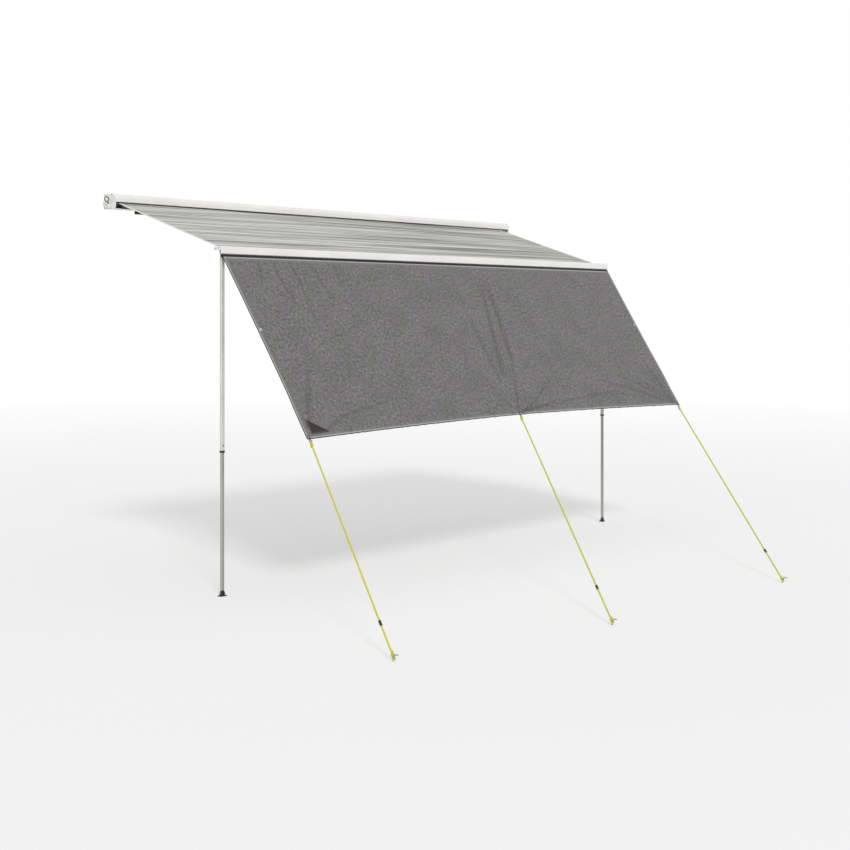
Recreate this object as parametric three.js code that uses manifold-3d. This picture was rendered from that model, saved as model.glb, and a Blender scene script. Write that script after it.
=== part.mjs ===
// Wind-out sun canopy for the roof edge of a van: a wall case with a fabric roller, two folding
// arms, a lead rail on telescopic legs, and a front sun screen that guy ropes hold out.
// Millimetres. X runs along the van to the right, -Y points away from it, Z points up. The origin
// lies on the seat of the middle roof bracket.

import * as THREE from 'three';
import { mergeVertices } from 'three/addons/utils/BufferGeometryUtils.js';
import Module from 'manifold-3d';

const wasm = await Module();
wasm.setup();

const degree = Math.PI / 180;

// Clearances
const fitGap = 0.3;
const runningGap = 1;
const overrun = 5;
const roundSides = 16;
const smallSides = 12;
const tubeSides = 20;
const drumSides = 24;
const hexSides = 6;
const wireSides = 8;
const wireSteps = 20;
const cornerSteps = 3;
const noseSteps = 8;

// Whole canopy
const caseLength = 4500;
const pitch = 17.8 * degree;
const groundDrop = 2545;

// Case, cut open at the front below its lip
const caseDepth = 120;
const caseHeight = 104;
const caseWall = 2.5;
const caseNoseRadius = 34;
const caseHeelRadius = 10;
const lipHeight = 66;
const lipBead = 4;
const floorSetback = 8;
const portRadius = 4.5;
const portBore = 2;
const endCapThickness = 9;
const endCapRim = 1.5;
const exitDrop = 2;

// Roof brackets
const bracketHeight = 22;
const bracketWidth = 80;
const bracketWall = 5;
const bracketToe = 45;
const bracketBack = 78;
const bracketInset = 300;

// Fabric roller and its drive
const rollerRadius = 23;
const rollerWall = 2.5;
const rollerEndGap = 35;
const rollerSetback = 83;
const rollerGroove = 5;
const plugFlange = 6;
const plugInsert = 30;
const axleRadius = 8;
const gearboxRadius = 26;
const gearboxThickness = 18;
const gearboxBossRadius = 11;
const gearboxBossLength = 14;
const gearboxOffset = 18;
const eyeLean = 24 * degree;
const eyeShaftRadius = 5;
const eyeNeck = 18;
const eyeStandOff = 13;
const eyeRadius = 17;
const eyeWire = 4;

// Folding arms
const armInset = 100;
const armBend = 26.26 * degree;
const armLevel = -19;
const armThickness = 22;
const barWidth = 26;
const elbowOffset = 14;
const lugThickness = 6;
const pinRadius = 5;
const pinHeadRadius = 8;
const pinHeadHeight = 2;
const forkThickness = 3;
const fluteWidth = 8;
const fluteDepth = 2;
const shoulderSetback = 41;
const armReach = 1112;
const shoulderWeb = 8;

// Lead rail, measured down from its top and back from its middle
const railDepth = 63;
const railBoxHeight = 26;
const railHeight = 48;
const railWall = 2.5;
const railNoseRadius = 8;
const railShoulderRadius = 3;
const railCapThickness = 5;
const kederRadius = 3.1;
const kederBore = 3.5;
const kederPort = 5.5;
const kederSlot = 2.6;
const roofKederInset = 7.5;
const roofKederDrop = 6;
const roofKederBlock = 14;
const screenKederDrop = 50;
const mouthFrom = 14 * degree;
const mouthTo = 108 * degree;
const closedGap = 4;

// Roof fabric
const fabricLeftInset = 25.5;
const fabricRightInset = 99.5;
const fabricThickness = 1.2;
const fabricSag = 4;
const fabricSteps = 14;

// Legs
const legInset = 34;
const legWidth = 29;
const legDepth = 20;
const legCorner = 5;
const legWall = 1.6;
const slideGap = 0.4;
const legFluteWidth = 3;
const legFluteDepth = 0.8;
const legFluteSpread = 5.8;
const latchGrooveWidth = 10;
const latchGrooveDepth = 3.4;
const outerTubeLength = 1256;
const innerTubeOverlap = 240;
const headInsert = 40;
const headFlange = 1;
const tiltDrop = 10;
const foldDrop = 30;
const tubeDrop = 17;
const knuckleWidth = 22;
const knuckleCheek = 3.5;
const knuckleRadius = 9;
const legPinRadius = 3;
const hangerPlate = 3;
const hangerCheek = 3;
const collarHeight = 12;
const collarWall = 2.2;
const buttonRadius = 4;
const buttonRise = 3;
const buttonLift = 33;

// Feet
const footWidth = 54;
const footDepth = 38;
const footThickness = 5;
const footRise = 20;
const footCorner = 5;
const footEarRadius = 10;
const footEarThickness = 5;
const footEarInner = 10;
const footBoltRadius = 3;
const footBoltHead = 5.5;
const footBoltCap = 3;
const footTongue = 16;
const footPlugInsert = 25;
const footNail = 4;

// Front screen and guy ropes
const screenInset = 35;
const screenOut = 755;
const screenDrop = 1162.3;
const screenThickness = 1.4;
const screenHemRise = 42;
const screenScallop = 6;
const screenSideDraw = 10;
const screenFold = 9;
const screenFoldReach = 420;
const screenFoldRays = 7;
const screenStiffShare = 0.25;
const screenHemShare = 1.05;
const screenFlat = 165;
const screenColumns = 48;
const screenRows = 10;
const ringRadius = 11;
const ringWire = 2;
const ringInset = 22;
const ropeRadius = 4;
const ropeSteps = 24;
const ropeSides = 8;
const runnerLength = 34;
const runnerRadius = 8;
const runnerShare = 0.86;
const pegRadius = 4;
const pegLength = 200;
const pegHook = 22;
const pegLean = 20 * degree;

// Places that follow from the sizes above
const caseFront = -caseDepth / 2;
const caseBack = caseDepth / 2;
const caseFloor = bracketHeight;
const caseTop = caseFloor + caseHeight;
const lipBottom = caseTop - lipHeight;
const exitZ = lipBottom - exitDrop;

const rollerLength = caseLength - 2 * rollerEndGap;
const fabricWidth = caseLength - fabricLeftInset - fabricRightInset;
const fabricShift = (fabricLeftInset - fabricRightInset) / 2;
const railLength = caseLength;
const screenWidth = railLength - 2 * screenInset;

const armSpread = caseLength / 2 - armInset;
const barHalf = barWidth / 2;
const armLength = armReach / (2 * Math.cos(armBend));
const elbowSwing = Math.asin(elbowOffset / armLength);
const linkRun = armLength * Math.cos(elbowSwing);
const closedReach = 2 * elbowOffset;
const travel = armReach - closedReach;

const railHalf = railDepth / 2;
const roofKederY = railHalf - roofKederInset;
const railClosedY = caseFront - closedGap - railHalf;
const kederClosedRun = (caseFront - railClosedY - roofKederY) / Math.cos(pitch);
const kederRun = kederClosedRun + travel;
const kederPlace = slopePoint(kederRun, 0);
const railY = kederPlace.y - roofKederY;
const railTop = kederPlace.z + roofKederDrop;
const railUnder = railTop - railBoxHeight;
const screenKederY = railY - railHalf + kederPort;
const screenKederZ = railTop - screenKederDrop;

const legX = railLength / 2 - legInset;
const tiltZ = railUnder - tiltDrop;
const foldZ = railUnder - foldDrop;
const tubeTop = foldZ - tubeDrop;
const tubeBottom = tubeTop - outerTubeLength;
const groundZ = -groundDrop;
const footPivotZ = groundZ + footRise;
const plugTop = footPivotZ + footTongue;

const screenLean = Math.atan(screenOut / screenDrop);
const screenLength = Math.hypot(screenOut, screenDrop);

// A point given by its run down the slope of the roof fabric and its height over the fabric
function slopePoint(run, height) {
  return {
    y: caseFront - run * Math.cos(pitch) - height * Math.sin(pitch),
    z: exitZ - run * Math.sin(pitch) + height * Math.cos(pitch),
  };
}

function slopeCorner(run, height) {
  const place = slopePoint(run, height);
  return [place.y, place.z];
}

// Finishes
function finish(color, roughness, metalness) {
  return { color, roughness, metalness };
}
const whiteCoat = finish(0xe9e8e2, 0.38, 0.1);
const bareAluminium = finish(0xd9d8d2, 0.32, 0.6);
const castGrey = finish(0x6d6f72, 0.5, 0.5);
const blackPlastic = finish(0x17181a, 0.55, 0);
const steel = finish(0xb9bcc0, 0.28, 0.9);
const roofCloth = finish(0xb4b3ac, 0.85, 0);
const screenCloth = finish(0x767673, 0.88, 0);
const cordCloth = finish(0xd6d8d2, 0.6, 0);
const neonRope = finish(0xc8dc1e, 0.6, 0);

const canopy = new THREE.Group();

function addMesh(parent, name, geometry, look) {
  const mesh = new THREE.Mesh(geometry, new THREE.MeshStandardMaterial(look));
  mesh.name = name;
  parent.add(mesh);
  return mesh;
}

// Booleans
function toSolid(geometry) {
  const bare = geometry.clone();
  bare.deleteAttribute('normal');
  bare.deleteAttribute('uv');
  const merged = mergeVertices(bare);
  return new wasm.Manifold(new wasm.Mesh({
    numProp: 3,
    vertProperties: new Float32Array(merged.attributes.position.array),
    triVerts: new Uint32Array(merged.index.array),
  }));
}

function toGeometry(solid) {
  const mesh = solid.getMesh();
  const geometry = new THREE.BufferGeometry();
  geometry.setAttribute('position', new THREE.BufferAttribute(mesh.vertProperties, 3));
  geometry.setIndex(new THREE.BufferAttribute(mesh.triVerts, 1));
  geometry.computeVertexNormals();
  return geometry;
}

function shaped(bodies, cuts = []) {
  let solid = toSolid(bodies[0]);
  for (const body of bodies.slice(1)) solid = solid.add(toSolid(body));
  for (const cut of cuts) solid = solid.subtract(toSolid(cut));
  return toGeometry(solid);
}

// A bow that is nothing at shares 0 and 1 and whole halfway
function bow(share) {
  return 1 - (2 * share - 1) ** 2;
}

// Outlines
function outline(points, holes = []) {
  const shape = new THREE.Shape(points.map(([a, b]) => new THREE.Vector2(a, b)));
  for (const hole of holes) {
    shape.holes.push(new THREE.Path(hole.map(([a, b]) => new THREE.Vector2(a, b))));
  }
  return shape;
}

function arcPoints(a, b, radius, from, to, steps) {
  const points = [];
  for (let i = 0; i <= steps; i += 1) {
    const angle = from + ((to - from) * i) / steps;
    points.push([a + radius * Math.cos(angle), b + radius * Math.sin(angle)]);
  }
  return points;
}

function circlePoints(a, b, radius, sides) {
  return arcPoints(a, b, radius, 0, 2 * Math.PI, sides).slice(0, sides);
}

function rectanglePoints(a0, b0, a1, b1) {
  return [[a0, b0], [a1, b0], [a1, b1], [a0, b1]];
}

function roundedPoints(width, height, radius, steps) {
  const a = width / 2 - radius;
  const b = height / 2 - radius;
  const quarter = Math.PI / 2;
  return [
    ...arcPoints(a, b, radius, 0, quarter, steps),
    ...arcPoints(-a, b, radius, quarter, 2 * quarter, steps),
    ...arcPoints(-a, -b, radius, 2 * quarter, 3 * quarter, steps),
    ...arcPoints(a, -b, radius, 3 * quarter, 4 * quarter, steps),
  ];
}

// Extrusions; the outline's first number runs along Y for alongX and along X for alongZ
const axisX = new THREE.Vector3(1, 0, 0);
const axisY = new THREE.Vector3(0, 1, 0);
const axisZ = new THREE.Vector3(0, 0, 1);

function extruded(shape, length) {
  return new THREE.ExtrudeGeometry(shape, { depth: length, bevelEnabled: false });
}

function alongX(shape, from, to) {
  const geometry = extruded(shape, to - from);
  geometry.applyMatrix4(new THREE.Matrix4().makeBasis(axisY, axisZ, axisX));
  return geometry.translate(from, 0, 0);
}

function alongZ(shape, from, to) {
  return extruded(shape, to - from).translate(0, 0, from);
}

function box(x0, y0, z0, x1, y1, z1) {
  const geometry = new THREE.BoxGeometry(x1 - x0, y1 - y0, z1 - z0);
  return geometry.translate((x0 + x1) / 2, (y0 + y1) / 2, (z0 + z1) / 2);
}

function rod(from, to, radius, sides = roundSides) {
  const start = new THREE.Vector3(...from);
  const run = new THREE.Vector3(...to).sub(start);
  const geometry = new THREE.CylinderGeometry(radius, radius, run.length(), sides);
  const turn = new THREE.Quaternion().setFromUnitVectors(axisY, run.clone().normalize());
  geometry.applyQuaternion(turn);
  const middle = start.addScaledVector(run, 1 / 2);
  return geometry.translate(middle.x, middle.y, middle.z);
}

// Case housing: one extruded profile with a rounded nose, a front lip and screw ports for the caps
const portPlaces = [
  [caseBack - portRadius - caseWall / 2, caseTop - portRadius - caseWall / 2],
  [caseBack - portRadius - caseWall / 2, caseFloor + portRadius + caseWall / 2],
  [caseFront + caseNoseRadius, caseTop - portRadius - caseWall / 2],
];

function caseOutline(inset) {
  const nose = caseNoseRadius - inset;
  const heel = caseHeelRadius - inset;
  const quarter = Math.PI / 2;
  return {
    nose: arcPoints(caseFront + caseNoseRadius, caseTop - caseNoseRadius, nose,
      2 * quarter, quarter, noseSteps),
    top: arcPoints(caseBack - caseHeelRadius, caseTop - caseHeelRadius, heel,
      quarter, 0, cornerSteps),
    heel: arcPoints(caseBack - caseHeelRadius, caseFloor + caseHeelRadius, heel,
      0, -quarter, cornerSteps),
  };
}

function caseHousing() {
  const outer = caseOutline(0);
  const inner = caseOutline(caseWall);
  const floorFront = caseFront + floorSetback;
  const points = [
    [floorFront, caseFloor],
    [floorFront, caseFloor + caseWall],
    ...inner.heel.reverse(),
    ...inner.top.reverse(),
    ...inner.nose.reverse(),
    [caseFront + caseWall, lipBottom + lipBead],
    [caseFront + lipBead, lipBottom + lipBead],
    [caseFront + lipBead, lipBottom],
    [caseFront, lipBottom],
    ...outer.nose,
    ...outer.top,
    ...outer.heel,
  ];
  const body = alongX(outline(points), -caseLength / 2, caseLength / 2);
  const ports = portPlaces.map(([y, z]) => rod(
    [-caseLength / 2, y, z], [caseLength / 2, y, z], portRadius, smallSides));
  const bores = portPlaces.map(([y, z]) => rod(
    [-caseLength / 2 - overrun, y, z], [caseLength / 2 + overrun, y, z], portBore, smallSides));
  return shaped([body, ...ports], bores);
}
addMesh(canopy, 'case_housing', caseHousing(), whiteCoat);

// End caps close the case, with a bore for the roller axle
const rollerPlace = slopePoint(-rollerSetback,
  -rollerRadius - fitGap - fabricThickness / 2);

function endCapPoints() {
  const outer = caseOutline(-endCapRim);
  return [
    [caseFront - endCapRim, caseFloor - endCapRim + caseHeelRadius],
    ...outer.nose,
    ...outer.top,
    ...outer.heel,
    [caseFront + caseHeelRadius, caseFloor - endCapRim],
  ];
}

function endCap(side) {
  const near = caseLength / 2 + fitGap;
  const far = near + endCapThickness;
  const span = side > 0 ? [near, far] : [-far, -near];
  const bore = circlePoints(rollerPlace.y, rollerPlace.z, axleRadius + fitGap, roundSides);
  return alongX(outline(endCapPoints(), [bore]), ...span);
}
addMesh(canopy, 'left_end_cap', endCap(-1), whiteCoat);
addMesh(canopy, 'right_end_cap', endCap(1), whiteCoat);

// Roof brackets: a box foot on the roof and a back plate that the case bolts to
const bracketPlaces = [-caseLength / 2 + bracketInset, 0, caseLength / 2 - bracketInset];
const bracketNames = ['left', 'middle', 'right'];
const plateFront = caseBack + fitGap;
const plateBack = plateFront + bracketWall;

function roofBracket(x) {
  const top = caseFloor - fitGap;
  const points = [
    [-bracketToe, 0],
    [plateBack, 0],
    [plateBack, bracketBack],
    [plateFront, bracketBack],
    [plateFront, top],
    [-bracketToe + bracketWall, top],
    [-bracketToe, top - bracketWall],
  ];
  const window = rectanglePoints(-bracketToe + bracketWall, bracketWall,
    plateFront, top - bracketWall);
  return alongX(outline(points, [window]), x - bracketWidth / 2, x + bracketWidth / 2);
}
bracketPlaces.forEach((x, i) => {
  addMesh(canopy, `${bracketNames[i]}_roof_bracket`, roofBracket(x), blackPlastic);
});

// Roller tube with the groove that the fabric slides into, and a plug with an axle at each end
function rollerTube() {
  const { y, z } = rollerPlace;
  const half = rollerLength / 2;
  const tube = alongX(outline(circlePoints(y, z, rollerRadius, tubeSides),
    [circlePoints(y, z, rollerRadius - rollerWall, tubeSides)]), -half, half);
  const rib = rod([-half, y, z - rollerRadius + rollerGroove],
    [half, y, z - rollerRadius + rollerGroove], rollerGroove - rollerWall / 2, smallSides);
  const slot = box(-half - overrun, y - rollerWall / 2, z - rollerRadius - overrun,
    half + overrun, y + rollerWall / 2, z - rollerRadius + rollerGroove);
  return shaped([tube, rib], [slot]);
}

function rollerPlug(side) {
  const { y, z } = rollerPlace;
  const end = side * (rollerLength / 2 + fitGap);
  const flange = rod([end, y, z], [end + side * plugFlange, y, z], rollerRadius);
  const insert = rod([end + (side * plugFlange) / 2, y, z], [end - side * plugInsert, y, z],
    rollerRadius - 2 * rollerGroove - rollerWall);
  const outside = caseLength / 2 + fitGap + endCapThickness;
  const depth = side < 0 ? gearboxThickness / 2 : -fitGap;
  const axle = rod([end, y, z], [side * (outside + depth), y, z], axleRadius);
  return shaped([flange, insert, axle]);
}
addMesh(canopy, 'roller_tube', rollerTube(), bareAluminium);
addMesh(canopy, 'left_roller_plug', rollerPlug(-1), blackPlastic);
addMesh(canopy, 'right_roller_plug', rollerPlug(1), blackPlastic);

// Winding gearbox on the left cap, with the socket that the crank eye turns in
const gearboxNear = -(caseLength / 2 + 2 * fitGap + endCapThickness);
const gearboxFar = gearboxNear - gearboxThickness;
const eyeBase = {
  x: gearboxNear - gearboxBossRadius - gearboxBossLength * Math.sin(eyeLean) - runningGap,
  y: rollerPlace.y - gearboxRadius - eyeShaftRadius - eyeStandOff,
  z: rollerPlace.z - gearboxOffset,
};
const eyeWay = { x: -Math.sin(eyeLean), z: Math.cos(eyeLean) };

function eyePoint(distance) {
  return [eyeBase.x + eyeWay.x * distance, eyeBase.y, eyeBase.z + eyeWay.z * distance];
}

function windingGearbox() {
  const { y, z } = rollerPlace;
  const drum = rod([gearboxNear, y, z], [gearboxFar, y, z], gearboxRadius, drumSides);
  const boss = rod(eyePoint(-gearboxBossLength), eyePoint(gearboxBossLength), gearboxBossRadius);
  const bridge = box(gearboxFar, eyeBase.y, eyeBase.z - gearboxBossRadius,
    gearboxNear, y, eyeBase.z + gearboxBossRadius);
  const axleBore = rod([gearboxNear + overrun, y, z],
    [gearboxNear - gearboxThickness / 2 - runningGap, y, z], axleRadius + fitGap);
  const eyeBore = rod(eyePoint(0), eyePoint(gearboxBossLength + overrun),
    eyeShaftRadius + fitGap);
  return shaped([drum, boss, bridge], [axleBore, eyeBore]);
}

function crankEye() {
  const shaft = rod(eyePoint(runningGap), eyePoint(gearboxBossLength + eyeNeck + eyeWire),
    eyeShaftRadius);
  const ring = new THREE.TorusGeometry(eyeRadius, eyeWire, wireSides, wireSteps);
  const [x, y, z] = eyePoint(gearboxBossLength + eyeNeck + eyeRadius);
  ring.rotateX(Math.PI / 2).translate(x, y, z);
  return shaped([shaft, ring]);
}
addMesh(canopy, 'winding_gearbox', windingGearbox(), castGrey);
addMesh(canopy, 'crank_eye', crankEye(), castGrey);

// Roof fabric: from the top of the roller under the lip to the keder in the rail
function roofFabric() {
  const start = -rollerSetback;
  const end = kederRun - kederRadius - fitGap;
  const upper = [];
  const lower = [];
  for (let i = 0; i <= fabricSteps; i += 1) {
    const share = i / fabricSteps;
    const run = start + (end - start) * share;
    const open = Math.max(0, run) / end;
    const sag = fabricSag * bow(open);
    upper.push(slopeCorner(run, fabricThickness / 2 - sag));
    lower.push(slopeCorner(run, -fabricThickness / 2 - sag));
  }
  return alongX(outline([...upper, ...lower.reverse()]),
    fabricShift - fabricWidth / 2, fabricShift + fabricWidth / 2);
}
addMesh(canopy, 'roof_fabric', roofFabric(), roofCloth);

// Arm plane: its X is the part's X, its Y runs back up the slope, its Z stands on the fabric
const armPlane = new THREE.Group();
armPlane.rotation.x = pitch;
armPlane.position.set(0, caseFront, exitZ);
canopy.add(armPlane);

const armTop = armThickness / 2;
const elbowStop = barHalf + runningGap;
const tongueHalf = armTop - lugThickness - fitGap;

function elbowLayer(offset, z0, z1) {
  const low = offset > 0 ? -barHalf : offset;
  const high = offset > 0 ? offset : barHalf;
  return [
    box(linkRun - elbowStop - overrun, low, z0, linkRun, high, z1),
    rod([linkRun, 0, z0], [linkRun, 0, z1], barHalf),
    rod([linkRun, offset, z0], [linkRun, offset, z1], barHalf),
  ];
}

function armLink(offset, forked) {
  const bar = box(0, -barHalf, -armTop, linkRun - elbowStop, barHalf, armTop);
  const eye = rod([0, 0, -armTop], [0, 0, armTop], barHalf);
  const layers = forked
    ? [...elbowLayer(offset, armTop - lugThickness, armTop),
      ...elbowLayer(offset, -armTop, lugThickness - armTop)]
    : elbowLayer(offset, -tongueHalf, tongueHalf);
  const reach = armTop + overrun;
  const bore = pinRadius + fitGap;
  const cuts = [
    rod([0, 0, -reach], [0, 0, reach], bore),
    rod([linkRun, offset, -reach], [linkRun, offset, reach], bore),
  ];
  for (const side of [-1, 1]) {
    const face = side * barHalf;
    const floor = side * (barHalf - fluteDepth);
    cuts.push(box(2 * barHalf, Math.min(floor, face + side * overrun), -fluteWidth / 2,
      linkRun - elbowStop - 2 * barHalf, Math.max(floor, face + side * overrun), fluteWidth / 2));
  }
  return shaped([bar, eye, ...layers], cuts);
}

function headedPin(reach) {
  return shaped([
    rod([0, 0, -reach], [0, 0, reach], pinRadius),
    rod([0, 0, reach], [0, 0, reach + pinHeadHeight], pinHeadRadius),
    rod([0, 0, -reach], [0, 0, -reach - pinHeadHeight], pinHeadRadius),
  ]);
}

const shoulderY = shoulderSetback;
const wristY = shoulderSetback - armReach;
const elbowY = (shoulderY + wristY) / 2;
const linkLean = armBend + elbowSwing - Math.PI / 2;

function place(mesh, x, y, turn = 0) {
  mesh.position.set(x, y, armLevel);
  mesh.rotation.z = turn;
}

function foldingArm(side, name) {
  const inward = -side;
  const elbowX = side * armSpread + inward * armLength * Math.sin(armBend);
  const upperTurn = inward > 0 ? linkLean : Math.PI - linkLean;
  const upper = addMesh(armPlane, `${name}_upper_arm`, armLink(-inward * elbowOffset, true),
    whiteCoat);
  place(upper, side * armSpread, shoulderY, upperTurn);
  const forearm = addMesh(armPlane, `${name}_forearm`, armLink(inward * elbowOffset, false),
    whiteCoat);
  place(forearm, side * armSpread, wristY, -upperTurn);
  const elbowPin = addMesh(armPlane, `${name}_elbow_pin`, headedPin(armTop + fitGap), steel);
  place(elbowPin, elbowX, elbowY);
}
foldingArm(-1, 'left');
foldingArm(1, 'right');

// Shoulder brackets hold the arms between two leaning plates on a wedge that stands in the case.
// The pins of shoulder and wrist are pressed into their brackets.
const forkReach = armTop + fitGap + forkThickness;

function leaningPlate(from, to, low, high) {
  return [slopeCorner(from, low), slopeCorner(to, low), slopeCorner(to, high),
    slopeCorner(from, high)];
}

function pressedPin(x, run) {
  const low = slopePoint(run, armLevel - armTop - forkThickness / 2);
  const neck = slopePoint(run, armLevel + forkReach + pinHeadHeight / 2);
  const seat = slopePoint(run, armLevel + forkReach - forkThickness / 2);
  const head = slopePoint(run, armLevel + forkReach + pinHeadHeight);
  return [
    rod([x, low.y, low.z], [x, neck.y, neck.z], pinRadius),
    rod([x, seat.y, seat.z], [x, head.y, head.z], pinHeadRadius),
  ];
}

function shoulderBracket(side) {
  const x = side * armSpread;
  const inner = x - side * barHalf;
  const web = x + side * (barHalf + runningGap);
  const outer = web + side * shoulderWeb;
  const back = -shoulderSetback - barHalf;
  const front = -shoulderSetback + barHalf;
  const top = armLevel + armTop + fitGap;
  const under = armLevel - armTop - fitGap;
  const seat = caseFloor + caseWall + fitGap;
  const block = [
    [slopePoint(back, under).y, seat],
    [slopePoint(front, under).y, seat],
    slopeCorner(front, under),
    slopeCorner(front, top + forkThickness),
    slopeCorner(back, top + forkThickness),
    slopeCorner(back, under),
  ];
  const slot = leaningPlate(back - overrun, front + overrun, under, top);
  return shaped([
    shaped([alongX(outline(block), Math.min(inner, outer), Math.max(inner, outer))],
      [alongX(outline(slot), Math.min(inner - side * overrun, web),
        Math.max(inner - side * overrun, web))]),
    ...pressedPin(x, -shoulderSetback),
  ]);
}
addMesh(canopy, 'left_shoulder_bracket', shoulderBracket(-1), castGrey);
addMesh(canopy, 'right_shoulder_bracket', shoulderBracket(1), castGrey);

// Wrist brackets reach back from the rail round the forearm ends
const railBack = railY + railHalf;
const wristRun = armReach - shoulderSetback;

function wristBracket(side) {
  const x = side * armSpread;
  const face = railBack + fitGap;
  const seatRun = (height) => (caseFront - height * Math.sin(pitch) - face) / Math.cos(pitch);
  const top = armLevel + armTop + fitGap;
  const under = armLevel - armTop - fitGap;
  const back = wristRun - barHalf;
  const low = under - forkThickness;
  const high = top + forkThickness;
  const block = [slopeCorner(back, low), slopeCorner(seatRun(low), low),
    slopeCorner(seatRun(high), high), slopeCorner(back, high)];
  const slot = leaningPlate(back - overrun, wristRun + barHalf + runningGap, under, top);
  return shaped([
    shaped([alongX(outline(block), x - barHalf, x + barHalf)],
      [alongX(outline(slot), x - barHalf - overrun, x + barHalf + overrun)]),
    ...pressedPin(x, wristRun),
  ]);
}
addMesh(canopy, 'left_wrist_bracket', wristBracket(-1), castGrey);
addMesh(canopy, 'right_wrist_bracket', wristBracket(1), castGrey);

// Lead rail: a hollow box, a front skirt, and a keder groove for each cloth
function railPoints() {
  const front = railY - railHalf;
  const quarter = Math.PI / 2;
  return [
    ...arcPoints(front + railNoseRadius, railTop - railNoseRadius, railNoseRadius,
      2 * quarter, quarter, cornerSteps + 1),
    ...arcPoints(railBack - railShoulderRadius, railTop - railShoulderRadius,
      railShoulderRadius, quarter, 0, cornerSteps),
    [railBack, railUnder],
    [front + railWall, railUnder],
    [front + railWall, railTop - railHeight],
    [front, railTop - railHeight],
  ];
}

function railHollow() {
  const front = railY - railHalf;
  const low = railUnder + railWall;
  const block = railBack - roofKederBlock - railWall;
  const blockLow = railTop - roofKederDrop - kederPort - railWall;
  return [
    [front + railWall, low],
    [railBack - railWall, low],
    [railBack - railWall, blockLow],
    [block, blockLow],
    [block, railTop - railWall],
    [front + railNoseRadius, railTop - railWall],
    [front + railWall, railTop - railNoseRadius],
  ];
}

function leadRail() {
  const half = railLength / 2;
  const body = alongX(outline(railPoints(), [railHollow()]), -half, half);
  const port = rod([-half, screenKederY, screenKederZ], [half, screenKederY, screenKederZ],
    kederPort);
  const bore = (y, z) => rod([-half - overrun, y, z], [half + overrun, y, z], kederBore);
  const slotEnd = roofKederInset + overrun;
  const slot = [
    slopeCorner(kederRun, -kederSlot / 2), slopeCorner(kederRun, kederSlot / 2),
    slopeCorner(kederRun - slotEnd, kederSlot / 2),
    slopeCorner(kederRun - slotEnd, -kederSlot / 2),
  ];
  const mouthReach = kederPort + overrun;
  const mouthRim = arcPoints(screenKederY, screenKederZ, mouthReach,
    -Math.PI / 2 - mouthFrom, -Math.PI / 2 - mouthTo, cornerSteps + 1);
  const mouth = [[screenKederY, screenKederZ], ...mouthRim];
  return shaped([body, port], [
    bore(kederPlace.y, kederPlace.z),
    bore(screenKederY, screenKederZ),
    alongX(outline(slot), -half - overrun, half + overrun),
    alongX(outline(mouth), -half - overrun, half + overrun),
  ]);
}
addMesh(canopy, 'lead_rail', leadRail(), whiteCoat);

function railCap(side) {
  const near = railLength / 2 + fitGap;
  const far = near + railCapThickness;
  const ends = side > 0 ? [near, far] : [-far, -near];
  return alongX(outline(railPoints()), ...ends);
}
addMesh(canopy, 'left_rail_cap', railCap(-1), whiteCoat);
addMesh(canopy, 'right_rail_cap', railCap(1), whiteCoat);

const kederStart = fabricShift - fabricWidth / 2;
addMesh(canopy, 'roof_keder', rod([kederStart, kederPlace.y, kederPlace.z],
  [kederStart + fabricWidth, kederPlace.y, kederPlace.z], kederRadius, smallSides), cordCloth);

// Leg profiles
function flutedPoints(width, depth, corner) {
  const base = roundedPoints(width, depth, corner, cornerSteps);
  const half = depth / 2;
  const floor = half - legFluteDepth;
  const flute = (a) => [[a - legFluteWidth / 2, half], [a - legFluteWidth / 4, floor],
    [a + legFluteWidth / 4, floor], [a + legFluteWidth / 2, half]];
  const spread = legFluteSpread;
  const back = [...flute(-spread), ...flute(0), ...flute(spread)].reverse();
  const front = [...flute(-spread), ...flute(0), ...flute(spread)].map(([a, b]) => [a, -b]);
  const count = base.length / 4;
  return [...base.slice(0, count), ...back, ...base.slice(count, 3 * count), ...front,
    ...base.slice(3 * count)];
}

const boreWidth = legWidth - 2 * legWall;
const boreDepth = legDepth - 2 * legWall;
const innerWidth = boreWidth - 2 * slideGap;
const innerDepth = boreDepth - 2 * slideGap;
const boreCorner = legCorner - legWall;

function outerTube(x) {
  const shape = outline(flutedPoints(legWidth, legDepth, legCorner),
    [roundedPoints(boreWidth, boreDepth, boreCorner, cornerSteps)]);
  const tube = alongZ(shape, tubeBottom, tubeTop).translate(x, railY, 0);
  const level = tubeBottom + buttonLift;
  const front = railY - legDepth / 2;
  const hole = rod([x, front - overrun, level], [x, railY, level], buttonRadius + fitGap);
  return shaped([tube], [hole]);
}

function innerPoints() {
  const points = roundedPoints(innerWidth, innerDepth, boreCorner, cornerSteps);
  const front = -innerDepth / 2;
  const half = latchGrooveWidth / 2;
  const groove = [[-half, front], [-half, front + latchGrooveDepth],
    [half, front + latchGrooveDepth], [half, front]];
  const count = points.length / 4;
  return [...points.slice(0, 3 * count), ...groove, ...points.slice(3 * count)];
}

function innerTube(x) {
  const wide = innerWidth / 2 - legWall;
  const back = innerDepth / 2 - legWall;
  const front = -innerDepth / 2 + latchGrooveDepth + legWall;
  const hollow = rectanglePoints(-wide, front, wide, back);
  const top = tubeBottom + innerTubeOverlap;
  const tube = alongZ(outline(innerPoints(), [hollow]), plugTop, top);
  return tube.translate(x, railY, 0);
}

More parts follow.
